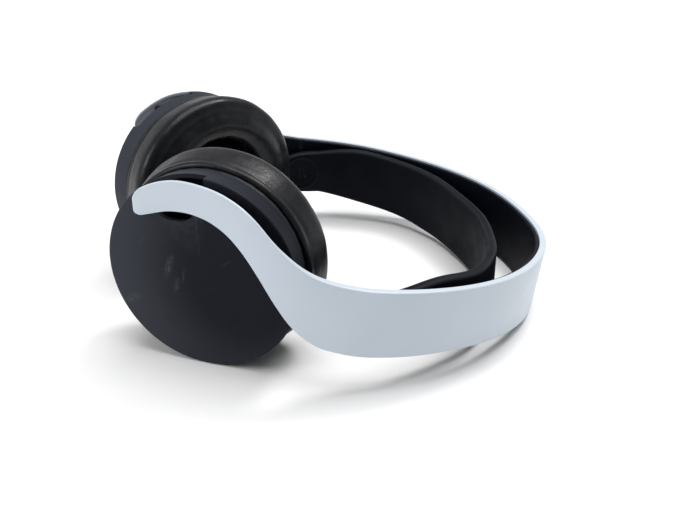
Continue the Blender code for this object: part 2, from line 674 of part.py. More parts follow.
def make_driver(side, left, frame, basket_material, magnet_material, cone_material):
    """The speaker: a basket that drops into the chassis, a magnet in its middle and a domed diaphragm."""
    low = -CHASSIS_END
    high = low + DRIVER_HEIGHT
    hole = MAGNET_RADIUS + FIT
    basket = ((DRIVER_RADIUS, low), (DRIVER_RADIUS, low + 1.3), (DRIVER_RADIUS - 4, low + 1.6))
    basket += ((DRIVER_RADIUS - 7, high), (hole, high), (hole, high - 1.2))
    basket += ((DRIVER_RADIUS - 7.8, high - 1.2), (DRIVER_RADIUS - 5, low))
    new_object(f"driver_basket_{side}", turned(basket, 24), basket_material, frame, left)
    top = high + 1.2
    magnet = ((0, top), (MAGNET_RADIUS - 0.6, top), (MAGNET_RADIUS, top - 0.6))
    magnet += ((MAGNET_RADIUS, top - MAGNET_HEIGHT), (0, top - MAGNET_HEIGHT))
    new_object(f"driver_magnet_{side}", turned(magnet, 20), magnet_material, frame, left)
    edge, rise = DRIVER_RADIUS - 5.6, 0.4
    cone = ((0, low + 1.7), (5, low + 1.3), (8, low + 0.5), (11.5, low + 1.1), (edge, low + rise))
    below = tuple((radius, y - rise) for radius, y in reversed(cone))
    new_object(f"driver_diaphragm_{side}", turned(cone + below, 20), cone_material, frame, left)


def make_baffle(side, left, frame, material):
    """Plate between chassis and pad that stops sound going round the driver."""
    top, bottom = -BAFFLE_TOP, -BAFFLE_TOP - BAFFLE_THICKNESS
    outer = INSIDE_RADIUS
    profile = ((BAFFLE_OPENING, bottom), (BAFFLE_OPENING, top), (outer, top), (outer, bottom))
    new_object(f"baffle_{side}", turned(profile, 28), material, frame, left)


def make_pad(side, left, frame, ring_material, cushion_material, cloth_material):
    """Ear pad: the ring it clips on with, the soft cushion and the cloth over the driver."""
    top, bottom = -PAD_RING_TOP, -PAD_RING_TOP - PAD_RING_THICKNESS
    outer = INSIDE_RADIUS + 0.7
    ring = ((PAD_RING_OPENING, bottom), (PAD_RING_OPENING, top), (outer, top), (outer, bottom))
    new_object(f"pad_ring_{side}", turned(ring, 28), ring_material, frame, left)
    cloth = rod_profile(PAD_RING_OPENING - FIT, top, top - CLOTH_THICKNESS)
    new_object(f"speaker_cloth_{side}", turned(cloth, 24), cloth_material, frame, left)
    back = -CUSHION_BACK
    face = -CHASSIS_END - CUSHION_DEPTH
    bulge = CUP_RADIUS + CUSHION_BULGE
    lip = outer + FIT
    drop = face - back
    start = -CHASSIS_END - FIT
    cushion = ((lip, back), (lip, start), (lip + 0.9, start), (bulge - 1.9, back + 0.12 * drop))
    cushion += ((bulge - 0.3, back + 0.42 * drop), (bulge, back + 0.62 * drop))
    cushion += ((bulge - 1.3, back + 0.82 * drop), (bulge - 4.8, back + 0.96 * drop), (bulge - 9.6, face))
    cushion += ((bulge - 14.6, back + 0.96 * drop),)
    cushion += ((CUSHION_HOLE + 2.2, back + 0.82 * drop), (CUSHION_HOLE, back + 0.55 * drop))
    cushion += ((CUSHION_HOLE + 0.6, back + 0.2 * drop), (CUSHION_HOLE + 3.0, back))
    pad = new_object(f"ear_cushion_{side}", turned(cushion, 32), cushion_material, frame, left)
    # The soft pad is pressed flat where it lies on the table.
    reach = 2 * CUP_RADIUS
    combine(pad, "DIFFERENCE", box((-reach, -reach, -reach), (reach, reach, -CUP_HEIGHT)), frame, left)


def make_mount(side, left, frame, material):
    """Bracket on the arm's back: a plate behind the outer shell and a block that reaches into the cup."""
    plate_x, thickness, plate_z = MOUNT_PLATE
    top = ARM_STANDOFF - ARM_WALL - FIT
    plate = rounded_outline(plate_x, plate_z, 1.2, (PIVOT_X, PIVOT_Z + MOUNT_PLATE_RISE), 2)
    mount = new_object(f"pivot_mount_{side}", extruded(plate, top - thickness, top), material, frame, left)
    block_x, block_z = MOUNT_HALF
    low = (PIVOT_X - block_x, -PIVOT_DEPTH - MOUNT_BELOW_PIVOT, PIVOT_Z - block_z)
    high = (PIVOT_X + block_x, top - thickness / 2, PIVOT_Z + block_z)
    combine(mount, "UNION", box(low, high), frame, left)
    start = (PIVOT_X, -PIVOT_DEPTH, PIVOT_Z - block_z - 1)
    end = (PIVOT_X, -PIVOT_DEPTH, PIVOT_Z + block_z + 1)
    combine(mount, "DIFFERENCE", rod(PIN_RADIUS + PIN_PLAY, start, end), frame, left)


def make_gimbal(side, left, frame, ring_material, pin_material):
    """Ring with two trunnions that turn in the chassis lugs, and the pin it turns on in the mount."""
    half_x, half_y, half_z = RING_HALF
    outline = rounded_outline(half_x, half_z, 1.0, (PIVOT_X, PIVOT_Z), 2)
    origin = (PIVOT_X, -PIVOT_DEPTH, PIVOT_Z)
    shape = extruded(outline, -PIVOT_DEPTH - half_y, -PIVOT_DEPTH + half_y)
    ring = new_object(f"gimbal_ring_{side}", shape, ring_material, frame, left)
    reach = half_x + TRUNNION_LENGTH
    start, end = (PIVOT_X - reach, -PIVOT_DEPTH, PIVOT_Z), (PIVOT_X + reach, -PIVOT_DEPTH, PIVOT_Z)
    combine(ring, "UNION", rod(TRUNNION_RADIUS, start, end), frame, left)
    window = rounded_outline(RING_WINDOW[0], RING_WINDOW[1], 0.5, (PIVOT_X, PIVOT_Z), 1)
    combine(ring, "DIFFERENCE", extruded(window, -PIVOT_DEPTH - 4, -PIVOT_DEPTH + 4), frame, left)
    low = (PIVOT_X, -PIVOT_DEPTH, PIVOT_Z - half_z - 1)
    high = (PIVOT_X, -PIVOT_DEPTH, PIVOT_Z + half_z + 1)
    combine(ring, "DIFFERENCE", rod(PIN_RADIUS + PIN_PLAY, low, high), frame, left)
    pin = rod(PIN_RADIUS, (*origin[:2], PIVOT_Z - half_z - 0.3), (*origin[:2], PIVOT_Z + half_z + 0.3))
    new_object(f"gimbal_pin_{side}", pin, pin_material, frame, left, origin)


# ---------------------------------------------------------------------------------------------------------
# What only one cup holds.


def control_section(width):
    """Section of a button: a head through the wall and a flange behind it that keeps it in."""
    inner, thickness, overhang = CONTROL_FLANGE
    outer = cover_radius(CONTROL_DEPTH) + CONTROL_PROUD
    neck, face = inner + thickness, outer - CONTROL_CHAMFER
    low, high = -CONTROL_DEPTH - width / 2, -CONTROL_DEPTH + width / 2
    section = [(inner, low - overhang), (neck, low - overhang), (neck, low), (face, low)]
    section += [(outer, low + CONTROL_CHAMFER), (outer, high - CONTROL_CHAMFER), (face, high)]
    return section + [(neck, high), (neck, high + overhang), (inner, high + overhang)]


def slot(place, length, width):
    """The opening for a control in the cover's wall."""
    low, high = -CONTROL_DEPTH - width / 2 - FIT, -CONTROL_DEPTH + width / 2 + FIT
    inner, outer = CUP_RADIUS - 6, CUP_RADIUS + 3
    section = [(inner, low), (outer, low), (outer, high), (inner, high)]
    return rim_block(section, place, length + 2 * FIT, CUP_RADIUS)


def radial_box(place, inner, outer, high, across):
    """A block through the wall, centred on the controls' line."""
    low_corner = (inner, -CONTROL_DEPTH - high / 2, -across / 2)
    high_corner = (outer, -CONTROL_DEPTH + high / 2, across / 2)
    return turned_round(box(low_corner, high_corner), place)


def radial_rod(place, radius, inner, outer, segments=12):
    """A round rod through the wall, on the controls' line."""
    start = rim_point(place, inner, -CONTROL_DEPTH)
    end = rim_point(place, outer, -CONTROL_DEPTH)
    return rod(radius, start, end, segments)


def make_controls(frame, cover, material):
    """The buttons, rockers and power slider of the left cup."""
    pivot_radius = CONTROL_FLANGE[0] + 1.2
    for name, place, length, width in (*BUTTONS, *ROCKERS):
        origin = rim_point(place, pivot_radius, -CONTROL_DEPTH)
        shape = rim_block(control_section(width), place, length, CUP_RADIUS)
        new_object(name, shape, material, frame, True, origin)
        combine(cover, "DIFFERENCE", slot(place, length, width), frame, True)
    place, length, width = POWER_SLIDER
    origin = rim_point(place, pivot_radius, -CONTROL_DEPTH)
    shape = rim_block(control_section(width), place, length, CUP_RADIUS, 2)
    new_object("power_slider", shape, material, frame, True, origin)
    turn = math.degrees(POWER_TRAVEL / CUP_RADIUS)
    opening = slot(place - turn / 2, length + POWER_TRAVEL + 2 * FIT, width)
    combine(cover, "DIFFERENCE", opening, frame, True)


def make_sockets(frame, cover, metal, jack_material, lens_material):
    """The left cup's USB-C and audio sockets, status lens and microphones, in openings in its cover."""
    rim = cover_radius(CONTROL_DEPTH) - FIT
    inside, outside = rim - 6.0, rim + 4.0
    across, high, long = USB_SIZE
    usb = new_object("usb_socket", radial_box(USB_PLACE, rim - long, rim, high, across), metal, frame, True)
    opening = radial_box(USB_PLACE, rim - long - 1, outside, high + 2 * FIT, across + 2 * FIT)
    combine(cover, "DIFFERENCE", opening, frame, True)
    across, high, deep = USB_MOUTH
    combine(usb, "DIFFERENCE", radial_box(USB_PLACE, rim - deep, rim + 2, high, across), frame, True)

    shape = radial_rod(JACK_PLACE, JACK_RADIUS, rim - JACK_LENGTH, rim, 16)
    jack = new_object("audio_socket", shape, jack_material, frame, True)
    bore = radial_rod(JACK_PLACE, JACK_BORE, rim - JACK_LENGTH + 1, rim + 2)
    combine(jack, "DIFFERENCE", bore, frame, True)
    opening = radial_rod(JACK_PLACE, JACK_RADIUS + FIT, inside, outside, 16)
    combine(cover, "DIFFERENCE", opening, frame, True)

    shape = radial_rod(LENS_PLACE, LENS_RADIUS, rim - 4, rim + 0.2, 8)
    new_object("status_lens", shape, lens_material, frame, True)
    opening = radial_rod(LENS_PLACE, LENS_RADIUS + FIT, inside, outside, 8)
    combine(cover, "DIFFERENCE", opening, frame, True)

    behind_wall = cover_radius(CONTROL_DEPTH) - COVER_WALL - 0.5
    for name, place in MICROPHONES:
        shape = radial_rod(place, MIC_RADIUS, behind_wall - MIC_HEIGHT, behind_wall, 10)
        new_object(name, shape, metal, frame, True)
        combine(cover, "DIFFERENCE", radial_rod(place, MIC_PORT, inside, outside, 6), frame, True)


def clipped_plate(size, radius):
    """A flat plate behind the disc with straight sides, clipped to stay inside a radius."""
    half_width, low, high, thickness = size
    outline = []
    for sx, z in ((1, low), (1, high), (-1, high), (-1, low)):
        x = min(half_width, math.sqrt(max(radius**2 - z**2, 1.0)))
        outline.append((sx * x, z))
    return extruded(outline, -BOARD_DEPTH - thickness, -BOARD_DEPTH)


def make_boards(left_frame, right_frame, board_material, battery_material):
    """Main board behind the left cup's disc and battery in the right cup."""
    room = SCREW_RING - BOSS_RADIUS - 1.0
    new_object("main_board", clipped_plate(BOARD, room), board_material, left_frame, True)
    new_object("battery", clipped_plate(BATTERY, room), battery_material, right_frame)


# ---------------------------------------------------------------------------------------------------------


def cup_frames(side, left):
    """The fixed frame of a cup at rest, and the one that turns about the pivot's two axes."""
    way = -1.0 if left else 1.0
    centre = Vector((CUP_CENTRE[0], way * CUP_CENTRE[1], CUP_HEIGHT))
    turn = way * CUP_TOE_IN
    fixed = empty(f"arm_frame_{side}", centre, turn)
    pivot = Vector((PIVOT_X, -way * PIVOT_DEPTH, PIVOT_Z))
    in_world = centre + Matrix.Rotation(math.radians(turn), 3, "Z") @ pivot
    tilt = empty(f"tilt_axis_{side}", in_world, turn)
    gimbal = empty(f"gimbal_frame_{side}", -pivot, parent=tilt)
    swivel = empty(f"swivel_axis_{side}", (0, 0, 0), parent=tilt)
    return fixed, gimbal, empty(f"cup_frame_{side}", -pivot, parent=swivel)


def build():
    clear_scene()
    white = finish("white_plastic", (0.62, 0.66, 0.72), 0.38)
    black = finish("black_plastic", (0.022, 0.025, 0.034), 0.5)
    cover_black = finish("cover_plastic", (0.019, 0.022, 0.031), 0.55)
    rubber = finish("strap_rubber", (0.006, 0.008, 0.012), 0.55)
    leather = finish("cushion_leatherette", (0.016, 0.016, 0.018), 0.45)
    cloth = finish("speaker_cloth", (0.004, 0.004, 0.005), 0.9)
    steel = finish("steel", (0.55, 0.55, 0.56), 0.3, 1.0)
    board = finish("circuit_board", (0.02, 0.10, 0.04), 0.5)
    pouch = finish("battery_pouch", (0.35, 0.36, 0.38), 0.4, 0.6)
    film = finish("diaphragm_film", (0.10, 0.10, 0.11), 0.3)
    lens = finish("status_lens", (0.75, 0.75, 0.75), 0.2)

    frames = {}
    for side, left in (("right", False), ("left", True)):
        frames[side] = cup_frames(side, left)
    make_outer_shell(white)
    make_inner_shell(black)
    make_spring_strip(steel)
    make_harness(black)
    make_strap(rubber)
    for side, left in (("right", False), ("left", True)):
        fixed, gimbal, cup = frames[side]
        make_anchor(side, left, black, steel)
        make_mount(side, left, fixed, black)
        make_gimbal(side, left, gimbal, black, steel)
        cover = make_cover(side, left, cup, cover_black)
        make_chassis(side, left, cup, black)
        make_cover_screws(side, left, cup, steel)
        make_driver(side, left, cup, black, steel, film)
        make_baffle(side, left, cup, black)
        make_pad(side, left, cup, black, leather, cloth)
        if left:
            make_controls(cup, cover, black)
            make_sockets(cup, cover, steel, black, lens)
    make_boards(frames["left"][2], frames["right"][2], board, pouch)


build()
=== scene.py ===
import math

import bmesh
import bpy
import numpy as np
from mathutils import Matrix, Vector, noise


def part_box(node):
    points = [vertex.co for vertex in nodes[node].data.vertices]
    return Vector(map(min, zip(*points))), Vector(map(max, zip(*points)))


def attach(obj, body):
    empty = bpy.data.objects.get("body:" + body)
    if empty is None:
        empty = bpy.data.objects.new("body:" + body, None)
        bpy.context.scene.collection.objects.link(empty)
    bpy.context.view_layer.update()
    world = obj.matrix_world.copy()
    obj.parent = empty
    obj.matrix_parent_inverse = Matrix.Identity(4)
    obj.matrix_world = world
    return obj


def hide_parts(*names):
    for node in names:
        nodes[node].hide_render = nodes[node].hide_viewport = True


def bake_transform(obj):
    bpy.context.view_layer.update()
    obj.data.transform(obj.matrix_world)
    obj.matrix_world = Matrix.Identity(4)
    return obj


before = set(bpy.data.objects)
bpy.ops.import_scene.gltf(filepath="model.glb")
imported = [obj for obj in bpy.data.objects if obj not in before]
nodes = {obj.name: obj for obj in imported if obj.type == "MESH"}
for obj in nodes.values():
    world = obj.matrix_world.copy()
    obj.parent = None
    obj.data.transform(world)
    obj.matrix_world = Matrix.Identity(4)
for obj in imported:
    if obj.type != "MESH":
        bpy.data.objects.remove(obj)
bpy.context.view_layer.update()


# --------------------------------------
# Outer shell of the head band: one strip of cool white plastic with a satin moulded face. Its rims turn in
# towards the head, and past the arch it narrows into the arm that crosses each ear cup and ends in a tip.
MM = 0.001  # sizes here are in millimetres
BAND_HALF_LENGTH, BAND_HALF_WIDTH, BAND_WIDEST_X = 101.3, 94.5, 1.7
BAND_WALL, BAND_RIM, BAND_RIM_HEIGHT, BAND_EDGE = 1.8, 3.2, 1.6, 0.9
ARM_WALL, ARM_RIM, ARM_STANDOFF = 0.9, 1.2, 3.8
ARM_THINS_FROM, ARM_THINS_TO = 1.12, 1.42
ARM_TIP_REACH, ARM_TIP_RADIUS = 26.6, 4.5
ARM_TIP_ROUND = 0.92  # share of that radius in which the edges draw in
ARCH_END_ANGLE = 92.3
ARM_START_PULL, ARM_END_PULL = 41.0, 59.0
TIP_EDGE = 0.7  # rounding of the blunt end of each arm

# The cup's disc sets where the arm runs: its radius, its toe-in and the leading rim beside the band.
cover_low, cover_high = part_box("cup_cover_right")
CUP_RADIUS = (cover_high.z - cover_low.z) / 2 / MM
CUP_TOE_IN = math.radians(29.8)
CUP_RIM_LEAD = (-28.7, 80.6)
CUP_ALONG = np.array((math.cos(CUP_TOE_IN), math.sin(CUP_TOE_IN)))
CUP_OUT = np.array((-math.sin(CUP_TOE_IN), math.cos(CUP_TOE_IN)))
CUP_CENTRE = np.array(CUP_RIM_LEAD) - CUP_RADIUS * CUP_ALONG

# Heights of the band's edges, as (place, height). Place is 0 at the apex, 1 at the end of the arch and 2 at
# the arm's tip, and negative on the left half. Arm heights are shares of the cup's radius.
ARCH_TOP = ((0.0, 29.8), (0.30, 33.1), (0.54, 36.8), (0.80, 42.6), (1.0, 47.2))
ARCH_BOTTOM = ((0.0, 0.0), (0.12, 0.0), (0.27, 1.3), (0.50, 5.7), (0.745, 12.0), (0.94, 15.9))
ARM_TOP = ((1.13, 1.18), (1.20, 1.24), (1.26, 1.32), (1.32, 1.43), (1.38, 1.56), (1.44, 1.71))
ARM_TOP += ((1.50, 1.82), (1.58, 1.91), (1.70, 1.97), (1.82, 1.97), (1.91, 1.91), (2.0, 1.80))
ARM_BOTTOM = ((1.11, 0.46), (1.23, 0.57), (1.32, 0.76), (1.38, 0.96), (1.44, 1.18), (1.50, 1.37))
ARM_BOTTOM += ((1.56, 1.51), (1.63, 1.61), (1.73, 1.67), (1.84, 1.66), (1.93, 1.60), (2.0, 1.55))
BAND_TOP = ARCH_TOP + tuple((place, share * CUP_RADIUS) for place, share in ARM_TOP)
BAND_BOTTOM = ARCH_BOTTOM + tuple((place, share * CUP_RADIUS) for place, share in ARM_BOTTOM)
BAND_LEAN = ((0.0, 4.3), (0.5, 3.2), (0.95, 0.0), (2.0, 0.0))


def value_at(knots, place):
    """The value at a place on a smooth curve through (place, value) knots, level at the first one."""
    at, value = np.array(knots, float).T
    slope = np.gradient(value, at)
    slope[0] = 0.0
    place = min(max(place, at[0]), at[-1])
    i = min(int(np.searchsorted(at, place, side="right")) - 1, len(at) - 2)
    span = at[i + 1] - at[i]
    t = (place - at[i]) / span
    start = (1 + 2 * t) * (1 - t) ** 2 * value[i] + t * (1 - t) ** 2 * span * slope[i]
    end = t * t * (3 - 2 * t) * value[i + 1] + t * t * (t - 1) * span * slope[i + 1]
    return float(start + end)


def band_line(samples=600):
    """Places, points and inward directions along the right half of the band's outer face, seen from above."""
    angles = np.radians(np.linspace(0.0, ARCH_END_ANGLE, samples))
    ahead, across = BAND_HALF_LENGTH * np.cos(angles), BAND_HALF_WIDTH * np.sin(angles)
    arch = np.stack((BAND_WIDEST_X + ahead, across), axis=1)
    leaving = arch[-1] - arch[-2]
    leaving /= np.hypot(*leaving)
    tip = CUP_CENTRE - ARM_TIP_REACH * CUP_ALONG + ARM_STANDOFF * CUP_OUT
    handles = (arch[-1], arch[-1] + ARM_START_PULL * leaving, tip + ARM_END_PULL * CUP_ALONG, tip)
    t = np.linspace(0.0, 1.0, samples)[:, None]
    shares = ((1 - t) ** 3, 3 * t * (1 - t) ** 2, 3 * t * t * (1 - t), t**3)
    arm = sum(share * handle for share, handle in zip(shares, handles))
    runs = [np.append(0.0, np.cumsum(np.hypot(*np.diff(line, axis=0).T))) for line in (arch, arm)]
    places = np.append(runs[0] / runs[0][-1], 1.0 + runs[1][1:] / runs[1][-1])
    points = np.concatenate((arch, arm[1:]))
    direction = np.gradient(points, axis=0)
    direction /= np.hypot(*direction.T)[:, None]
    return places, points, np.stack((-direction[:, 1], direction[:, 0]), axis=1), runs[0][-1], runs[1][-1]


LINE_PLACES, LINE_POINTS, LINE_INWARD, ARCH_LENGTH, ARM_LENGTH = band_line()


def face_at(place):
    """The band's outer face and its inward direction at a place, seen from above."""
    side = np.array((1.0, -1.0 if place < 0 else 1.0))
    point = np.array([np.interp(abs(place), LINE_PLACES, LINE_POINTS[:, k]) for k in (0, 1)])
    inward = np.array([np.interp(abs(place), LINE_PLACES, LINE_INWARD[:, k]) for k in (0, 1)])
    return point * side, inward * side


def band_edges(place):
    """Heights of the band's lower and upper edge, drawn in round the arm's tip."""
    top = value_at(BAND_TOP, abs(place))
    bottom = max(value_at(BAND_BOTTOM, abs(place)), 0.0)
    into_tip = ARM_TIP_RADIUS * ARM_TIP_ROUND - (2.0 - abs(place)) * ARM_LENGTH
    if into_tip > 0:
        drawn_in = ARM_TIP_RADIUS - math.sqrt(ARM_TIP_RADIUS**2 - into_tip**2)
        top -= drawn_in
        bottom += drawn_in
    return bottom, top


def on_band(place, depth, z):
    """The point this far inside the band's outer face, at a height. The face leans in below its top edge."""
    point, inward = face_at(place)
    bottom, top = band_edges(place)
    depth += value_at(BAND_LEAN, abs(place)) * (top - z) / (top - bottom)
    return (*(point + depth * inward), z)


def thinned(place, full, thin):
    """A thickness that falls smoothly from the band's to the arm's."""
    share = min(max((abs(place) - ARM_THINS_FROM) / (ARM_THINS_TO - ARM_THINS_FROM), 0.0), 1.0)
    return full + (thin - full) * share * share * (3 - 2 * share)


def mirrored(places):
    """Places of the left half before those of the right half, which start at the apex."""
    return [-place for place in reversed(places[1:])] + places


def band_places(end=2.0, end_radius=ARM_TIP_RADIUS, per_stretch=58, end_steps=12):
    """Sections from end to end of the band, closer together where each end is rounded."""
    straight_end = end - end_radius / ARM_LENGTH
    places = list(np.linspace(0.0, 1.0, per_stretch)) + list(np.linspace(1.0, straight_end, per_stretch)[1:])
    for step in range(1, end_steps + 1):
        places.append(straight_end + (end - straight_end) * math.sin(math.pi / 2 * step / end_steps))
    return mirrored(places)


def rounded(corners, steps=4):
    """A closed outline through (u, v, radius) corners, each rounded by its radius."""
    outline = []
    for i, (u, v, radius) in enumerate(corners):
        corner = np.array((u, v), float)
        ways = [np.array(corners[j][:2]) - corner for j in (i - 1, (i + 1) % len(corners))]
        start, end = (corner + radius * way / np.hypot(*way) for way in ways)
        for t in np.linspace(0.0, 1.0, steps + 1):
            outline.append((1 - t) ** 2 * start + 2 * t * (1 - t) * corner + t * t * end)
    return outline


def lofted(rings):
    """Points and faces of a solid through rings that hold the same number of points, capped at both ends."""
    count = len(rings[0])
    points = [tuple(point) for ring in rings for point in ring]
    faces = []
    for a in range(0, (len(rings) - 1) * count, count):
        for i in range(count):
            j = (i + 1) % count
            faces.append((a + i, a + j, a + count + j, a + count + i))
    faces.append(tuple(range(count)))
    faces.append(tuple(range(len(points) - count, len(points))))
    return points, faces


def new_piece(name, shape, finish, sharp=35.0, place=Matrix.Identity(4)):
    """A smooth shaded mesh from points in millimetres, in its own frame."""
    points, faces = shape
    mesh = bpy.data.meshes.new(name)
    mesh.from_pydata([Vector(point) * MM for point in points], [], faces)
    shell = bmesh.new()
    shell.from_mesh(mesh)
    bmesh.ops.remove_doubles(shell, verts=shell.verts, dist=1e-6)
    bmesh.ops.recalc_face_normals(shell, faces=shell.faces)
    shell.to_mesh(mesh)
    shell.free()
    mesh.shade_smooth()
    mesh.set_sharp_from_angle(angle=math.radians(sharp))
    mesh.materials.append(finish)
    obj = bpy.data.objects.new(name, mesh)
    obj.matrix_world = place
    bpy.context.collection.objects.link(obj)
    return obj


def set_inputs(node, inputs):
    """Sets a node's inputs, each to a value or to another node's output."""
    for socket, value in inputs.items():
        if isinstance(value, bpy.types.NodeSocket):
            node.id_data.links.new(value, node.inputs[socket])
        else:
            node.inputs[socket].default_value = value
    return node


def add_node(tree, kind, inputs, output=0, **settings):
    """A new shader node's output."""
    node = tree.nodes.new(kind)
    for name, value in settings.items():
        setattr(node, name, value)
    return set_inputs(node, inputs).outputs[output]


def object_place(tree):
    """A point's place on its own piece."""
    return tree.nodes.new("ShaderNodeTexCoord").outputs["Object"]


def new_finish(name, roughness, **sockets):
    """A finish whose sockets are even all over: its material, node tree, shader and a point's place."""
    material = bpy.data.materials.new(name)
    material.use_nodes = True
    tree = material.node_tree
    shader = tree.nodes["Principled BSDF"]
    even = {socket.replace("_", " "): value for socket, value in sockets.items()}
    set_inputs(shader, {"Roughness": roughness, **even})
    return material, tree, shader, object_place(tree)


def ranged(tree, value, low, high, to_low=0.0, to_high=1.0, **settings):
    """A value carried from one range to another."""
    ends = {"Value": value, "From Min": low, "From Max": high, "To Min": to_low, "To Max": to_high}
    return add_node(tree, "ShaderNodeMapRange", ends, **settings)


def times(tree, first, second):
    """Two values multiplied."""
    return add_node(tree, "ShaderNodeMath", {0: first, 1: second}, operation="MULTIPLY")


def cloud(tree, place, size, detail=3.0, low=0.0, high=1.0):
    """Soft noise of a size in millimetres, spread over a range of values."""
    waves = {"Vector": place, "Scale": 1 / (size * MM), "Detail": detail}
    return ranged(tree, add_node(tree, "ShaderNodeTexNoise", waves), 0.3, 0.7, low, high)


def mixed(tree, share, first, second):
    """A colour part of the way from one that is fixed or a node's output to a fixed one."""
    start = first if isinstance(first, bpy.types.NodeSocket) else (*first, 1.0)
    return add_node(tree, "ShaderNodeMix", {0: share, 6: start, 7: (*second, 1.0)}, 2, data_type="RGBA")


def relief(tree, height, depth, under=None):
    """The normal over a relief whose full depth is in millimetres, laid on another relief if one is given."""
    inputs = {"Height": height, "Distance": depth * MM, "Strength": 1.0}
    if under is not None:
        inputs["Normal"] = under
    return add_node(tree, "ShaderNodeBump", inputs)


def moulded_plastic(name, colour, roughness, shade=0.88, grain=(0.3, 0.012), edge_wear_and_highlight=None, **sockets):
    """Moulded plastic: fine eroded grain, slow mottling of colour and gloss, and lighter convex edges that
    are partly wear and partly a painted edge highlight.
    """
    material, tree, shader, place = new_finish(name, roughness, **sockets)
    tone = mixed(tree, cloud(tree, place, 22), tuple(c * shade for c in colour), colour)
    # Convex edges made lighter: wear, with a painted highlight along the edges.
    if edge_wear_and_highlight:
        convex = tree.nodes.new("ShaderNodeNewGeometry").outputs["Pointiness"]
        wear_and_painted_light = times(tree, ranged(tree, convex, 0.52, 0.60, to_high=0.6), cloud(tree, place, 3, 5.0))
        tone = mixed(tree, wear_and_painted_light, tone, edge_wear_and_highlight)
    gloss = cloud(tree, place, 9, 4.0, roughness - 0.06, roughness + 0.06)
    size, depth = grain
    swell = relief(tree, cloud(tree, place, 35, 1.0), 0.05)
    set_inputs(shader, {"Base Color": tone, "Roughness": gloss,
                        "Normal": relief(tree, cloud(tree, place, size, 2.0), depth, swell)})
    return material


# The white's lighter edge colour is a painted highlight along the rims and corners.
white_plastic = moulded_plastic("white_plastic", (0.55, 0.615, 0.69), 0.36, shade=0.97, grain=(0.35, 0.006),
                                edge_wear_and_highlight=(0.74, 0.78, 0.83), Coat_Weight=0.12, Coat_Roughness=0.25)


def outer_shell():
    rings = []
    for place in band_places():
        bottom, top = band_edges(place)
        wall = thinned(place, BAND_WALL, ARM_WALL)
        rim = thinned(place, BAND_RIM, ARM_RIM)
        edge = min(BAND_EDGE, rim * 0.6)
        to_end = min((2.0 - abs(place)) * ARM_LENGTH, TIP_EDGE)
        face = TIP_EDGE - math.sqrt(TIP_EDGE**2 - (TIP_EDGE - to_end) ** 2)
        low, high = bottom + BAND_RIM_HEIGHT, top - BAND_RIM_HEIGHT
        corners = ((face, bottom, edge), (face, top, edge), (rim, top, 0.25), (rim, high, 0.15),
                   (wall, high, 0.2), (wall, low, 0.2), (rim, low, 0.15), (rim, bottom, 0.25))
        rings.append([on_band(place, depth, z) for depth, z in rounded(corners)])
    return lofted(rings)


shell = new_piece("band_shell", outer_shell(), white_plastic, sharp=50.0)
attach(shell, "root")
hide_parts("band_outer_shell")


# --------------------------------------
# Inner shell of the head band: a black plastic strip that clips between the white rims and closes the head
# side. It has a hole for the screw of each strap anchor, and ends rounded before the pivot brackets.
FIT = 0.3  # gap between pieces that touch
INNER_SHELL, ARM_INNER_SHELL, INNER_SHELL_STEP = 1.5, 0.7, 0.9
INNER_SHELL_END, INNER_SHELL_END_RADIUS = 1.7, 3.0
SCREW_HOLE, SCREW_HOLE_LENGTH = 1.1, 9.0
ANCHOR_PLACE = 1.0
anchor_low, anchor_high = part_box("strap_anchor_right")
ANCHOR_HEIGHT = (anchor_low.z + anchor_high.z) / 2 / MM

black_plastic = moulded_plastic("black_plastic", (0.0035, 0.0045, 0.009), 0.46, grain=(0.4, 0.02),
                                edge_wear_and_highlight=(0.045, 0.05, 0.06), Specular_IOR_Level=0.06)


def cut(target, *cutters):
    """Cuts shapes, each a temporary object, out of a piece."""
    for cutter in cutters:
        modifier = target.modifiers.new("cut", "BOOLEAN")
        modifier.operation = "DIFFERENCE"
        modifier.object = cutter
    applied(target)
    for cutter in cutters:
        bpy.data.objects.remove(cutter)


def applied(target):
    """Makes what a piece's modifiers give its own mesh."""
    graph = bpy.context.evaluated_depsgraph_get()
    mesh = bpy.data.meshes.new_from_object(target.evaluated_get(graph))
    target.modifiers.clear()
    target.data = mesh


def turned(profile, segments, centre=(0.0, 0.0)):
    """A solid turned about a line along Y, from (radius, y) points that start and end on the line, or form a
    closed ring."""
    points, rings = [], []
    for radius, y in profile:
        if radius == 0:
            rings.append([len(points)] * segments)
            points.append((centre[0], y, centre[1]))
            continue
        rings.append(list(range(len(points), len(points) + segments)))
        for angle in np.arange(segments) * 2 * math.pi / segments:
            points.append((centre[0] + radius * math.cos(angle), y, centre[1] + radius * math.sin(angle)))
    pairs = list(zip(rings, rings[1:]))
    if profile[0][0] > 0 or profile[-1][0] > 0:
        pairs.append((rings[-1], rings[0]))
    faces = []
    for a, b in pairs:
        for i in range(segments):
            j = (i + 1) % segments
            corners = tuple(dict.fromkeys((a[i], a[j], b[j], b[i])))
            if len(corners) > 2:
                faces.append(corners)
    return points, faces


def rod(radius, start, end, segments):
    """A round rod along Y."""
    return turned(((0, start), (radius, start), (radius, end), (0, end)), segments)


def anchor_frame(side):
    """A frame on the band's face at a strap anchor: Y points in towards the head and Z up."""
    place = side * ANCHOR_PLACE
    point, inward = face_at(place)
    along = (-inward[1], inward[0]) if place < 0 else (inward[1], -inward[0])
    turn = Matrix(((along[0], inward[0], 0), (along[1], inward[1], 0), (0, 0, 1))).to_4x4()
    return Matrix.Translation(Vector((*point, ANCHOR_HEIGHT)) * MM) @ turn


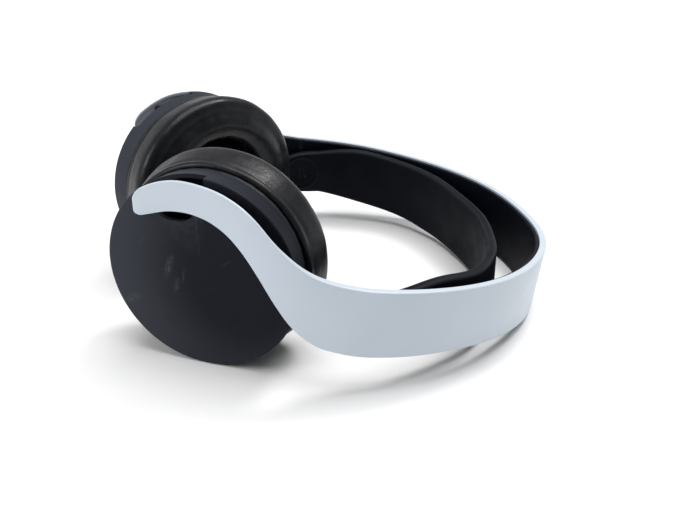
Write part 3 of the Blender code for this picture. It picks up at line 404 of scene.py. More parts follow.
def inner_shell():
    rings = []
    radius = INNER_SHELL_END_RADIUS
    for place in band_places(INNER_SHELL_END, radius):
        into_end = max(radius - (INNER_SHELL_END - abs(place)) * ARM_LENGTH, 0.0)
        drawn_in = INNER_SHELL_STEP + 0.95 * (radius - math.sqrt(max(radius**2 - into_end**2, 0.0)))
        bottom, top = band_edges(place)
        bottom += drawn_in
        top -= drawn_in
        start = thinned(place, BAND_RIM, ARM_RIM) + FIT
        inner = start + thinned(place, INNER_SHELL, ARM_INNER_SHELL)
        edge = (inner - start) * 0.45
        corners = ((start, bottom, 0.1), (start, top, 0.1), (inner, top, edge), (inner, bottom, edge))
        rings.append([on_band(place, depth, z) for depth, z in rounded(corners)])
    return lofted(rings)


lining = new_piece("band_lining", inner_shell(), black_plastic)
cutters = []
for side in (-1, 1):
    hole = rod(SCREW_HOLE, 0, SCREW_HOLE_LENGTH, 16)
    cutters.append(new_piece("screw_hole", hole, black_plastic, place=anchor_frame(side)))
cut(lining, *cutters)
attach(lining, "root")
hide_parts("band_inner_shell")


# --------------------------------------
# Spring strip and harness, which run hidden between the two shells: blued spring steel that gives the clamp
# force, and the sheathed cable between the cups.


def refinish(names, finish):
    """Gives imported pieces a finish."""
    for name in names:
        for slot in nodes[name].material_slots:
            slot.material = finish


def brushed_steel(name, colour, roughness):
    """Steel with a fine drawn grain, a few darker stains and uneven gloss."""
    material, tree, shader, place = new_finish(name, roughness, Metallic=1.0)
    drawn = add_node(tree, "ShaderNodeMapping", {"Vector": place, "Scale": (1.0, 1.0, 0.06)})
    grain = cloud(tree, drawn, 0.15, 2.0)
    tone = mixed(tree, cloud(tree, place, 6), tuple(c * 0.8 for c in colour), colour)
    gloss = cloud(tree, place, 2.5, 4.0, roughness - 0.08, roughness + 0.12)
    set_inputs(shader, {"Base Color": tone, "Roughness": gloss, "Normal": relief(tree, grain, 0.004)})
    return material


spring_steel = brushed_steel("spring_steel", (0.34, 0.36, 0.42), 0.34)
bright_steel = brushed_steel("bright_steel", (0.62, 0.62, 0.63), 0.26)
refinish(["band_spring_strip"], spring_steel)
refinish(["band_harness"], moulded_plastic("cable_sheath", (0.02, 0.02, 0.022), 0.55, grain=(0.8, 0.03)))


# --------------------------------------
# Suspension strap: an even band of soft black rubber with rounded edges that rests on the head. Each end is a
# round tongue pressed over an anchor, with raised oval ridges round a raised letter that tells the side.
STRAP_THICKNESS, STRAP_EDGE = 5.0, 1.9
STRAP_GAP = ((0.0, 26.1), (0.227, 24.6), (0.43, 17.9), (0.605, 11.6), (0.776, 9.4))
STRAP_END_CLEARANCE = 0.6
STRAP_HOLLOW, STRAP_HOLLOW_DEPTH = 3.3, 2.9  # room for the anchor's head
STRAP_TOP = ((0.0, 33.8), (0.227, 34.8), (0.43, 36.7), (0.605, 38.5), (0.776, 42.0), (0.933, 40.5))
STRAP_BOTTOM = ((0.0, 0.5), (0.227, 1.7), (0.43, 2.9), (0.605, 6.6), (0.776, 11.5), (0.933, 16.7))
TONGUE_STARTS, TONGUE_ENDS = 0.945, 1.19
STRAP_ACROSS = 44  # points across its head side, enough to carry the ridges
RIDGES = ((0.80, 0.28), (0.58, 0.22), (0.44, 0.14))  # share of the tongue's half height, rise
RIDGE_WIDTH = 0.055
LETTER_HEIGHT, LETTER_RISE = 5.6, 0.22

strap_rubber, tree, shader, place = new_finish("strap_rubber", 0.5, Specular_IOR_Level=0.07)
dust = cloud(tree, place, 14, 5.0)
tone = mixed(tree, dust, (0.0018, 0.0024, 0.0050), (0.0036, 0.0046, 0.0080))
# Convex edges made lighter: rubber bloom, with a painted highlight along the edges.
convex = tree.nodes.new("ShaderNodeNewGeometry").outputs["Pointiness"]
tone = mixed(tree, ranged(tree, convex, 0.505, 0.55, to_high=0.8), tone, (0.045, 0.048, 0.058))
pores = relief(tree, cloud(tree, place, 0.5, 3.0), 0.02)
gloss = cloud(tree, place, 11, 4.0, 0.46, 0.60)
set_inputs(shader, {"Base Color": tone, "Roughness": gloss, "Normal": pores})


def strap_middle(place):
    """Middle and half height of the strap at a place, with a round tongue at each end."""
    top, bottom = value_at(STRAP_TOP, abs(place)), value_at(STRAP_BOTTOM, abs(place))
    half = (top - bottom) / 2
    into_tongue = (abs(place) - TONGUE_STARTS) / (TONGUE_ENDS - TONGUE_STARTS)
    if into_tongue > 0:
        half *= math.sqrt(max(1.0 - into_tongue**2, 0.0))
    return (top + bottom) / 2, half


def strap_depth(place):
    """How far the strap's outer side is inside the band's face."""
    tongue = BAND_RIM + FIT + INNER_SHELL + STRAP_END_CLEARANCE
    return value_at((*STRAP_GAP, (0.933, tongue + 1.0), (TONGUE_ENDS, tongue)), abs(place))


def ridge_rise(place, height):
    """Rise of the oval ridges on a tongue, at a height from its middle line."""
    full = strap_middle(ANCHOR_PLACE)[1]
    run = (abs(place) - ANCHOR_PLACE) * (ARM_LENGTH if abs(place) > 1 else ARCH_LENGTH)
    oval = math.hypot(run / 1.05, height) / full
    rise = sum(top * math.exp(-(((oval - share) / RIDGE_WIDTH) ** 2)) for share, top in RIDGES)
    return rise - 0.25 * min(max((0.72 - oval) / 0.1, 0.0), 1.0)


def strap_shape():
    places = list(np.linspace(0.0, 0.80, 46)) + list(np.linspace(0.80, TONGUE_STARTS, 18)[1:])
    for angle in np.linspace(0.0, 88.0, 58)[1:]:
        places.append(TONGUE_STARTS + (TONGUE_ENDS - TONGUE_STARTS) * math.sin(math.radians(angle)))
    rings = []
    for place in mirrored(places):
        middle, half = strap_middle(place)
        half = max(half, 0.3)
        point, inward = face_at(place)
        radius = min(STRAP_EDGE, half * 0.98)
        outer = strap_depth(place)
        to_end = min((TONGUE_ENDS - abs(place)) * ARM_LENGTH, STRAP_EDGE)
        end_round = STRAP_EDGE - math.sqrt(max(STRAP_EDGE**2 - (STRAP_EDGE - to_end) ** 2, 0.0))
        inner = outer + STRAP_THICKNESS - end_round
        outer += end_round
        corners = rounded(((outer, half, radius), (inner, half, radius), (inner, -half, radius),
                           (outer, -half, radius)), 7)
        across = np.linspace(half - radius, radius - half, STRAP_ACROSS)[1:-1]
        head_side = []
        for height in across:
            rise = ridge_rise(place, height) if abs(place) > 0.8 and half > 3 else 0.0
            head_side.append((inner + rise, height))
        section = corners[:16] + head_side + corners[16:]
        rings.append([(*(point + depth * inward), middle + height) for depth, height in section])
    return lofted(rings)


strap = new_piece("head_strap", strap_shape(), strap_rubber, sharp=60.0)
cutters = []
for side in (-1, 1):
    hollow = rod(STRAP_HOLLOW, 0, strap_depth(ANCHOR_PLACE) + STRAP_HOLLOW_DEPTH, 32)
    cutters.append(new_piece("hollow", hollow, strap_rubber, place=anchor_frame(side)))
cut(strap, *cutters)
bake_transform(strap)
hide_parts("suspension_strap")

for side, letter in ((-1, "L"), (1, "R")):
    text = bpy.data.curves.new("strap_letter", "FONT")
    text.body, text.size = letter, LETTER_HEIGHT * 1.4 * MM
    text.align_x, text.align_y = "CENTER", "CENTER"
    text.extrude, text.bevel_depth, text.resolution_u = LETTER_RISE * MM, 0.07 * MM, 6
    raised = bpy.data.objects.new("strap_letter", text)
    bpy.context.collection.objects.link(raised)
    bpy.context.view_layer.update()
    mesh = bpy.data.meshes.new_from_object(raised.evaluated_get(bpy.context.evaluated_depsgraph_get()))
    bpy.data.objects.remove(raised)
    mesh.materials.clear()
    mesh.materials.append(strap_rubber)
    mark = bpy.data.objects.new(f"strap_letter_{letter}", mesh)
    bpy.context.collection.objects.link(mark)
    face = strap_depth(ANCHOR_PLACE) + STRAP_THICKNESS - 0.3
    # Read from inside the band, with the letter's face turned to the head.
    stood = Matrix.Rotation(math.radians(90), 4, "X") @ Matrix.Rotation(math.radians(180), 4, "Y")
    mark.matrix_world = anchor_frame(side) @ Matrix.Translation((0, face * MM, 0)) @ stood
    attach(mark, "root")


# --------------------------------------
# Anchors, brackets and gimbals: what holds the strap and the cups on the band. Black glass-filled nylon for
# the moulded pieces, bright steel for screws and pins.
hard_black = moulded_plastic("hard_black", (0.017, 0.018, 0.022), 0.42, grain=(0.5, 0.015))
for side in ("left", "right"):
    refinish([f"strap_anchor_{side}", f"pivot_mount_{side}", f"gimbal_ring_{side}"], hard_black)
    refinish([f"strap_screw_{side}", f"gimbal_pin_{side}"], bright_steel)


# --------------------------------------
# Covers of the ear cups: a flat disc and a slightly tapering side wall in one black moulding, matt with a
# fine grain and scuffed by use. An opening behind the arm lets the pivot bracket in, and the rim is cut back
# behind the arm.
COVER_DEPTH, COVER_BACK_RADIUS, COVER_WALL, COVER_EDGE = 10.6, 41.9, 2.0, 0.8
POCKET = (-10.0, 31.3, 9.2, 8.6)  # middle and half sizes
NOTCH_MIDDLE, NOTCH_HALF, NOTCH_DEPTH, NOTCH_BOTTOM = -12.75, 16.75, 3.8, 31.0
COVER_SEGMENTS = 160
CUP_HEIGHT = CUP_RADIUS
CONTROL_DEPTH = 6.3
# Scuffs on the left disc, as (x, z, turn in degrees, half length, half width, strength). The last two are
# on the right disc as well.
SCUFFS = ((-14.5, 1.5, 70.0, 8.5, 2.6, 0.9), (-11.5, -7.0, 74.0, 6.0, 1.8, 0.7))
SCUFFS += ((-33.5, -17.0, 22.0, 8.0, 3.0, 0.8), (-8.0, -2.0, 80.0, 5.0, 0.8, 0.6))
SCUFFS += ((12.0, 7.0, 35.0, 4.0, 0.8, 0.4), (-26.0, 12.0, 60.0, 5.0, 0.9, 0.35))


def cup_frame(left):
    """The frame of a cup at rest: X to the apex, Y out of the disc or, on the left, into it, and Z up."""
    way = -1.0 if left else 1.0
    middle = Vector((CUP_CENTRE[0], way * CUP_CENTRE[1], CUP_HEIGHT)) * MM
    return Matrix.Translation(middle) @ Matrix.Rotation(way * CUP_TOE_IN, 4, "Z")


def cup_piece(name, shape, finish, left=True, sharp=35.0):
    """A piece of a cup, from a shape laid out for the right cup and mirrored for the left one."""
    points, faces = shape
    if left:
        points = [(x, -y, z) for x, y, z in points]
    return new_piece(name, (points, faces), finish, sharp, cup_frame(left))


def extruded(outline, low, high):
    """An outline of (x, z) points, extruded along Y."""
    return lofted([[(x, low, z) for x, z in outline], [(x, high, z) for x, z in outline]])


def rounded_box(half_across, half_along, radius, steps=4, middle=(0.0, 0.0)):
    """The outline of a rounded rectangle."""
    signs = ((-1, -1), (-1, 1), (1, 1), (1, -1))
    corners = [(middle[0] + a * half_across, middle[1] + b * half_along, radius) for a, b in signs]
    return rounded(corners, steps)


def cover_finish(name, scuffs):
    """The covers' matt black plastic, with rubbed edges that carry a painted highlight, a painted sheen that
    is paler towards the disc's left and rim, and, where given, scuffs.
    """
    material = moulded_plastic(name, (0.0065, 0.0085, 0.0150), 0.50, shade=0.85, grain=(0.45, 0.022),
                               edge_wear_and_highlight=(0.06, 0.065, 0.075), Specular_IOR_Level=0.09)
    tree = material.node_tree
    shader = tree.nodes["Principled BSDF"]
    place = object_place(tree)
    tone = shader.inputs["Base Color"].links[0].from_socket
    # A painted sheen: paler with distance from a point a little right of the disc's middle, so most on the
    # disc's left and round the rim.
    sheen_centre = {0: place, 1: (0.018, 0.0, 0.002)}
    painted_sheen = add_node(tree, "ShaderNodeVectorMath", sheen_centre, 1, operation="DISTANCE")
    painted_sheen = ranged(tree, painted_sheen, 0.020, 0.060, interpolation_type="SMOOTHSTEP")
    tone = mixed(tree, painted_sheen, tone, (0.036, 0.040, 0.051))
    total = None
    for x, z, turn, half_length, half_width, strength in scuffs:
        patch = {"Vector": place, "Location": (x * MM, 0, z * MM), "Rotation": (0, -math.radians(turn), 0),
                 "Scale": (half_length * MM, 0.03, half_width * MM)}
        within = add_node(tree, "ShaderNodeMapping", patch, vector_type="TEXTURE")
        fade = add_node(tree, "ShaderNodeTexGradient", {"Vector": within}, 1, gradient_type="SPHERICAL")
        fade = ranged(tree, fade, 0.0, 0.8, interpolation_type="SMOOTHERSTEP")
        stretched = add_node(tree, "ShaderNodeMapping", {"Vector": within, "Scale": (1.0, 1.0, 2.0)})
        waves = {"Vector": stretched, "Scale": 3.0, "Detail": 9.0, "Roughness": 0.8}
        streaks = ranged(tree, add_node(tree, "ShaderNodeTexNoise", waves), 0.46, 0.74, to_high=strength)
        share = times(tree, fade, streaks)
        if total is None:
            total = share
        else:
            total = add_node(tree, "ShaderNodeMath", {0: total, 1: share}, operation="MAXIMUM")
    set_inputs(shader, {"Base Color": mixed(tree, total, tone, (0.12, 0.125, 0.135))})
    return material


def rim_block(section, place, length, radius, steps=8):
    """A block that follows the cup's rim: its (radius, y) section swept round from a place in degrees."""
    half = math.degrees(length / 2 / radius)
    rings = []
    for angle in np.radians(np.linspace(place - half, place + half, steps + 1)):
        rings.append([(r * math.cos(angle), y, r * math.sin(angle)) for r, y in section])
    return lofted(rings)


def at_rim(shape, place):
    """A shape turned about Y = 0, moved so that its Y points out of the rim at a place in degrees."""
    points, faces = shape
    angle = math.radians(place)
    moved = []
    for x, along, z in points:
        moved.append((along * math.cos(angle) - z * math.sin(angle), x - CONTROL_DEPTH,
                      along * math.sin(angle) + z * math.cos(angle)))
    return moved, faces


def cover_shape():
    """The cover's turned body. Rings beside each edge keep the flat faces flat."""
    inside, back_inside = CUP_RADIUS - COVER_WALL, COVER_BACK_RADIUS - COVER_WALL
    flat = CUP_RADIUS - COVER_EDGE
    profile = [(0, 0), (flat - 3.0, 0), (flat - 0.5, 0)]
    for angle in np.radians(np.linspace(90.0, 0.0, 7)):
        profile.append((flat + COVER_EDGE * math.cos(angle), COVER_EDGE * math.sin(angle) - COVER_EDGE))
    profile += [(CUP_RADIUS - 0.05, -COVER_EDGE - 0.4), (COVER_BACK_RADIUS + 0.03, -COVER_DEPTH + 0.5)]
    profile += [(COVER_BACK_RADIUS - 0.06, -COVER_DEPTH + 0.12), (COVER_BACK_RADIUS - 0.25, -COVER_DEPTH)]
    profile += [(back_inside, -COVER_DEPTH), (inside, -COVER_WALL - 1.0), (inside - 1.0, -COVER_WALL)]
    profile += [(0, -COVER_WALL)]
    return turned(profile, COVER_SEGMENTS)


# Controls in the left cup's side wall, as (name, place round the rim in degrees, length, width).
BUTTONS = (("mute_button", -153.0, 8.6, 4.2), ("monitor_button", -168.5, 7.0, 4.2))
ROCKERS = (("volume_rocker", -185.0, 13.0, 4.2), ("balance_rocker", -205.0, 13.0, 4.2))
POWER_PLACE, POWER_LENGTH, POWER_WIDTH, POWER_TRAVEL = -138.5, 3.2, 3.0, 3.0
USB_PLACE, JACK_PLACE, LENS_PLACE, MICROPHONES = -107.0, -121.0, -129.0, (-94.0, 138.0)
USB_HALF, JACK_RADIUS, LENS_RADIUS, MIC_PORT = (4.5, 1.7), 2.5, 0.8, 0.6


def wall_opening(place, length, width):
    """The opening for a control in the side wall."""
    half = width / 2 + FIT
    near, far = CUP_RADIUS - 6, CUP_RADIUS + 3
    section = [(near, -half), (far, -half), (far, half), (near, half)]
    return rim_block([(r, y - CONTROL_DEPTH) for r, y in section], place, length + 2 * FIT, CUP_RADIUS)


def usb_outline(grow=0.0):
    """The round-ended outline of the charging socket, as (y, up) points."""
    high, across = USB_HALF[1] + grow, USB_HALF[0] + grow
    return rounded_box(high, across, high * 0.96, 6)


def along_radius(outline, place, inner, outer):
    """An outline of (y, up) points pushed out through the wall at a place in degrees."""
    angle = math.radians(place)
    cos, sin = math.cos(angle), math.sin(angle)
    return lofted([[(r * cos - up * sin, y - CONTROL_DEPTH, r * sin + up * cos) for y, up in outline]
                   for r in (inner, outer)])


def control_openings():
    """Everything cut through the left cover's side wall."""
    near, far = CUP_RADIUS - 6, CUP_RADIUS + 3
    shapes = [wall_opening(place, length, width) for _, place, length, width in (*BUTTONS, *ROCKERS)]
    middle = POWER_PLACE - math.degrees(POWER_TRAVEL / CUP_RADIUS) / 2
    shapes.append(wall_opening(middle, POWER_LENGTH + POWER_TRAVEL + 0.6, POWER_WIDTH))
    shapes.append(along_radius(usb_outline(FIT), USB_PLACE, near - 3, far))
    shapes.append(at_rim(rod(JACK_RADIUS + FIT, near - 3, far, 24), JACK_PLACE))
    shapes.append(at_rim(rod(LENS_RADIUS + FIT, near, far, 24), LENS_PLACE))
    shapes += [at_rim(rod(MIC_PORT, near, far, 24), place) for place in MICROPHONES]
    return shapes


pocket_x, pocket_z, half_x, half_z = POCKET
pocket_outline = rounded_box(half_x, half_z, half_z - 0.2, 10, (pocket_x, pocket_z))
notch_outline = rounded([(NOTCH_MIDDLE + sx * NOTCH_HALF, z, radius) for sx, z, radius in
                         ((-1, NOTCH_BOTTOM, 1.5), (-1, CUP_RADIUS + 3, 0.5), (1, CUP_RADIUS + 3, 0.5),
                          (1, NOTCH_BOTTOM, 1.5))])
SIDES = (("left", True), ("right", False))
for side, left in SIDES:
    finish = cover_finish(f"cover_plastic_{side}", SCUFFS if left else SCUFFS[4:])
    cover = cup_piece(f"cover_{side}", cover_shape(), finish, left)
    shapes = [extruded(pocket_outline, -COVER_WALL - 1.2, 2.0), extruded(notch_outline, -NOTCH_DEPTH, 2.0)]
    shapes += control_openings() if left else []
    cut(cover, *[cup_piece("opening", shape, finish, left) for shape in shapes])
    cover.data.set_sharp_from_angle(angle=math.radians(32))
    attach(cover, f"cup_{side}")
    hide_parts(f"cup_cover_{side}")


# --------------------------------------
# Chassis plates, baffles, pad rings and drivers, inside each cup behind the cover. The chassis flange shows
# as a thin black line between cover and cushion.
flange_black = moulded_plastic("flange_black", (0.016, 0.018, 0.024), 0.40, grain=(0.4, 0.02))
film, tree, shader, place = new_finish("driver_film", 0.25, Coat_Weight=0.3)
pleats = add_node(tree, "ShaderNodeTexWave", {"Vector": place, "Scale": 260.0, "Distortion": 1.5})
set_inputs(shader, {"Base Color": mixed(tree, cloud(tree, place, 4), (0.05, 0.05, 0.06), (0.11, 0.11, 0.12)),
                    "Normal": relief(tree, pleats, 0.05)})
for side in ("left", "right"):
    refinish([f"cup_chassis_{side}"], flange_black)
    refinish([f"baffle_{side}", f"pad_ring_{side}", f"driver_basket_{side}"], hard_black)
    refinish([f"driver_magnet_{side}"] + [f"cover_screw_{side}_{n}" for n in (1, 2, 3)], bright_steel)
    refinish([f"driver_diaphragm_{side}"], film)


# --------------------------------------
# Ear cushions: soft foam rings covered in black leatherette, welded along a seam round the outside and one
# round the hole, and pulled over the pad ring at the back. They bulge past the cups and crease as they age.
CHASSIS_END, CUSHION_DEPTH, CUSHION_LIP = 12.6, 21.3, 40.6
CUSHION_BULGE, CUSHION_HOLE = 3.2, 24.5
CUSHION_SEGMENTS, CUSHION_AROUND = 150, 46
CUSHION_SLACK = 0.7  # how much smaller the cover is than the foam fills it
CUSHION_MOST_MOVE = 1.1
SEAM_DEPTH, SEAM_WIDTH = 0.8, 0.75
OUTER_SEAM, INNER_SEAM = 5.2, 28.2  # from the chassis, and from the disc
PUCKER, SAG, FOLD = 0.25, 0.20, 0.10


def closed_curve(points, samples):
    """Evenly spaced points on a smooth closed curve through others."""
    points = np.array(points, float)
    count = len(points)
    fine = []
    for i in range(count):
        before, start, end, after = (points[(i + k) % count] for k in (-1, 0, 1, 2))
        for t in np.linspace(0.0, 1.0, 24, endpoint=False):
            bend = 2 * before - 5 * start + 4 * end - after
            twist = 3 * start - before - 3 * end + after
            fine.append(0.5 * (2 * start + (end - before) * t + bend * t * t + twist * t**3))
    fine = np.array(fine)
    run = np.append(0.0, np.cumsum(np.hypot(*np.diff(np.vstack((fine, fine[:1])), axis=0).T)))
    at = np.linspace(0.0, run[-1], samples, endpoint=False)
    return np.stack([np.interp(at, run, np.append(fine[:, k], fine[0, k])) for k in (0, 1)], axis=1)


def cushion_profile():
    """The cushion's section, as (radius, y) points from the back of its lip, out, over its face and in."""
    bulge = CUP_RADIUS + CUSHION_BULGE
    back = -CHASSIS_END - 3.9
    face = -CHASSIS_END - CUSHION_DEPTH
    drop = face - back
    bead = ((0.2, 0.6), (1.9, 0.4), (3.5, 1.4), (2.7, 2.9), (3.6, 4.2))
    outside = ((0.5, 0.36), (0.0, 0.62), (1.3, 0.80), (4.0, 0.87), (7.0, 0.83), (9.4, 0.92), (12.8, 1.0))
    inside = ((4.6, 0.985), (1.4, 0.88), (-0.2, 0.62), (0.8, 0.2), (3.0, 0.0))
    profile = [(CUSHION_LIP, back)] + [(CUSHION_LIP + out, -CHASSIS_END - down) for out, down in bead]
    profile += [(bulge - less, back + share * drop) for less, share in outside]
    return profile + [(CUSHION_HOLE + more, back + share * drop) for more, share in inside]


def swell(cushion, held):
    """Fills the leatherette with air, as foam does, for a few frames, with the named group held."""
    rest = np.array([v.co for v in cushion.data.vertices])
    modifier = cushion.modifiers.new("foam", "CLOTH")
    settings = modifier.settings
    settings.quality, settings.mass = 6, 0.15
    settings.tension_stiffness = settings.compression_stiffness = 10.0
    settings.shear_stiffness, settings.bending_stiffness = 5.0, 0.4
    settings.use_pressure, settings.uniform_pressure_force = True, 4.0
    settings.effector_weights.gravity = 0.0
    settings.vertex_group_mass = held
    settings.shrink_min = -0.012
    modifier.point_cache.frame_start, modifier.point_cache.frame_end = 1, 20
    for number in range(1, 21):
        bpy.context.scene.frame_set(number)
    graph = bpy.context.evaluated_depsgraph_get()
    moved = np.array([v.co for v in cushion.evaluated_get(graph).data.vertices]) - rest
    cushion.modifiers.clear()
    bpy.context.scene.frame_set(1)
    length = np.linalg.norm(moved, axis=1)
    limit = CUSHION_MOST_MOVE * MM
    moved *= (np.minimum(length, limit) / np.maximum(length, 1e-9))[:, None]
    set_points(cushion.data, rest + moved)


def set_points(mesh, points):
    mesh.vertices.foreach_set("co", np.asarray(points, float).ravel())
    mesh.update()


def creased(points, normals, seed):
    """The cushion's points with welded seams, creases that pull towards them, and soft dents."""
    result = []
    for point, normal in zip(points, normals):
        x, y, z = point / MM
        depth = abs(y)
        radius = math.hypot(x, z)
        angle = math.atan2(z, x)
        out = (math.cos(angle), math.sin(angle))
        if radius > 36.0:
            seam = depth - (CHASSIS_END + OUTER_SEAM + 0.5 * noise.noise((out[0] * 3, out[1] * 3, seed)))
        else:
            seam = 4.0 if radius > 30 else depth - INNER_SEAM
        offset = -SEAM_DEPTH * math.exp(-((seam / SEAM_WIDTH) ** 2))
        # Puckers run across the seams and die out over the face.
        pull = math.exp(-abs(seam) / 5.0)
        puckers = noise.noise((out[0] * 22, out[1] * 22, depth * 0.10 + seed))
        offset += PUCKER * pull * min(puckers, 0.15)
        sag = noise.noise((out[0] * 4.5 + seed, out[1] * 4.5, depth * 0.07 + radius * 0.05))
        offset += SAG * sag
        fold = noise.noise((out[0] * 7 - seed, out[1] * 7, radius * 0.16 + depth * 0.12))
        offset -= FOLD * max(0.0, 1.0 - abs(fold) / 0.10) * (1.0 if depth > 20 else 0.3)
        held = min(max((depth - CHASSIS_END - 1.2) / 3.0, 0.0), 1.0)
        result.append(point + np.array(normal) * offset * held * MM)
    return np.array(result)


def leatherette(name, top_wear_and_light):
    """Black leatherette: pebble grain, fine creases and uneven gloss, greyer towards its top as it lies,
    which is wear with painted light from above.
    """
    material, tree, shader, place = new_finish(name, 0.4, Specular_IOR_Level=0.24)
    base = mixed(tree, cloud(tree, place, 12, 5.0), (0.0035, 0.0042, 0.0065), (0.0080, 0.0090, 0.0118))
    up = add_node(tree, "ShaderNodeSeparateXYZ", {"Vector": place}, 2)
    # Greyer towards the top as it lies: wear, with painted light from above.
    wear_and_painted_light = times(tree, ranged(tree, up, 0.012, 0.042, to_high=top_wear_and_light), cloud(tree, place, 7, 6.0))
    base = mixed(tree, wear_and_painted_light, base, (0.024, 0.024, 0.025))
    cells = {"Vector": place, "Scale": 1 / (1.1 * MM), "Randomness": 0.9}
    pebble = add_node(tree, "ShaderNodeTexVoronoi", cells)
    flat = add_node(tree, "ShaderNodeVectorMath", {0: place, 1: (1.0, 0.0, 1.0)}, operation="MULTIPLY")
    way = add_node(tree, "ShaderNodeVectorMath", {0: flat}, operation="NORMALIZE")
    waves = {"Vector": way, "Scale": 26.0, "Detail": 5.0, "Roughness": 0.65}
    gloss = ranged(tree, cloud(tree, place, 6, 5.0), 0.0, 1.0, 0.27, 0.40)
    normal = relief(tree, add_node(tree, "ShaderNodeTexNoise", waves), 0.06)
    normal = relief(tree, cloud(tree, place, 2.6, 4.0), 0.035, normal)
    normal = relief(tree, pebble, 0.04, normal)
    set_inputs(shader, {"Base Color": base, "Roughness": gloss, "Normal": normal})
    return material


for side, left in SIDES:
    profile = closed_curve(cushion_profile(), CUSHION_AROUND)
    middle = profile.mean(axis=0)
    slack = 1.0 - CUSHION_SLACK / 9.0
    held_back = np.clip((-profile[:, 1] - CHASSIS_END - 3.0) / 4.0, 0.0, 1.0)[:, None]
    profile = profile * (1 - held_back) + (middle + (profile - middle) * slack) * held_back
    finish = leatherette(f"leatherette_{side}", 0.85 if left else 0.45)
    shape = turned([tuple(point) for point in profile], CUSHION_SEGMENTS)
    cushion = cup_piece(f"cushion_{side}", shape, finish, left, sharp=180.0)
    held = cushion.vertex_groups.new(name="held")
    for vertex in cushion.data.vertices:
        if abs(vertex.co.y) < (CHASSIS_END + 4.0) * MM:
            held.add([vertex.index], 1.0, "REPLACE")
    swell(cushion, "held")
    mesh = cushion.data
    normals = [tuple(v.normal) for v in mesh.vertices]
    points = creased(np.array([v.co for v in mesh.vertices]), normals, 3.7 if left else 8.2)
    # It rests on the table, so its underside is pressed flat.
    points[:, 2] = np.maximum(points[:, 2], -CUP_HEIGHT * MM)
    set_points(mesh, points)
    smoothing = cushion.modifiers.new("smooth", "SUBSURF")
    smoothing.levels = smoothing.render_levels = 1
    applied(cushion)
    points = np.array([v.co for v in cushion.data.vertices])
    points[:, 2] = np.maximum(points[:, 2], -CUP_HEIGHT * MM)
    set_points(cushion.data, points)
    cushion.data.shade_smooth()
    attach(cushion, f"cup_{side}")
    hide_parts(f"ear_cushion_{side}")


# --------------------------------------
# Cloth over each driver: a thin black knit stretched in the pad ring, a little domed by the foam behind it.
CLOTH_RADIUS, CLOTH_DOME = 27.7, 0.5
CLOTH_BACK, CLOTH_THICKNESS = -14.75, 0.25

speaker_knit, tree, shader, place = new_finish("speaker_knit", 0.92, Specular_IOR_Level=0.05)
yarn = {"Vector": place, "Scale": 190.0, "Distortion": 0.6}
warp, weft = (add_node(tree, "ShaderNodeTexWave", yarn, 1, bands_direction=way) for way in "XZ")
weave = times(tree, warp, weft)
set_inputs(shader, {"Base Color": mixed(tree, weave, (0.0006, 0.0006, 0.0008), (0.003, 0.003, 0.0035)),
                    "Normal": relief(tree, weave, 0.18)})
for side, left in SIDES:
    profile = [(0, CLOTH_BACK - CLOTH_THICKNESS - CLOTH_DOME)]
    for share in np.linspace(0.1, 1.0, 10):
        profile.append((CLOTH_RADIUS * share, CLOTH_BACK - CLOTH_THICKNESS - CLOTH_DOME * (1 - share**2)))
    profile += [(CLOTH_RADIUS, CLOTH_BACK), (0, CLOTH_BACK)]
    cloth = cup_piece(f"knit_{side}", turned(profile, 96), speaker_knit, left)
    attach(cloth, f"cup_{side}")
    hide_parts(f"speaker_cloth_{side}")


# --------------------------------------
# Controls in the left cup's side wall: two push buttons, two rockers and a power slider, all hard black
# plastic with rounded edges and small raised marks that can be told apart by touch.
CONTROL_PROUD, CONTROL_EDGE = 0.6, 0.45
CONTROL_INNER, FLANGE_THICKNESS, FLANGE_OVERHANG = 38.6, 0.8, 0.8
CONTROL_OUTER = (CUP_RADIUS + (COVER_BACK_RADIUS - CUP_RADIUS) * (CONTROL_DEPTH - COVER_EDGE)
                 / (COVER_DEPTH - COVER_EDGE)) + CONTROL_PROUD
MARK_TURN = 5.0  # from a rocker's middle to the mark at each end, in degrees

button_black = moulded_plastic("button_black", (0.020, 0.022, 0.028), 0.38, grain=(0.35, 0.008),
                               edge_wear_and_highlight=(0.06, 0.062, 0.068))


def control_section(width):
    """Section of a control: a head through the wall and a flange behind it that keeps it in."""
    half = width / 2
    neck = CONTROL_INNER + FLANGE_THICKNESS
    wide = half + FLANGE_OVERHANG
    inner, outer = CONTROL_INNER, CONTROL_OUTER
    corners = [(inner, -wide, 0.1), (neck, -wide, 0.1), (neck, -half, 0.05), (outer, -half, 0.5)]
    corners += [(r, -y, radius) for r, y, radius in reversed(corners)]
    return [(r, y - CONTROL_DEPTH) for r, y in rounded(corners, 4)]


def joined(shapes):
    """Several shapes as one."""
    points, faces = [], []
    for more_points, more_faces in shapes:
        faces += [tuple(i + len(points) for i in face) for face in more_faces]
        points += list(more_points)
    return points, faces


def raised_bar(place, across, along, rise=0.22):
    """A raised bar on a control's face: half sizes across and along the rim."""
    outline = rounded_box(across, along, min(across, along) * 0.9, 3)
    return along_radius(outline, place, CONTROL_OUTER - 0.3, CONTROL_OUTER + rise)


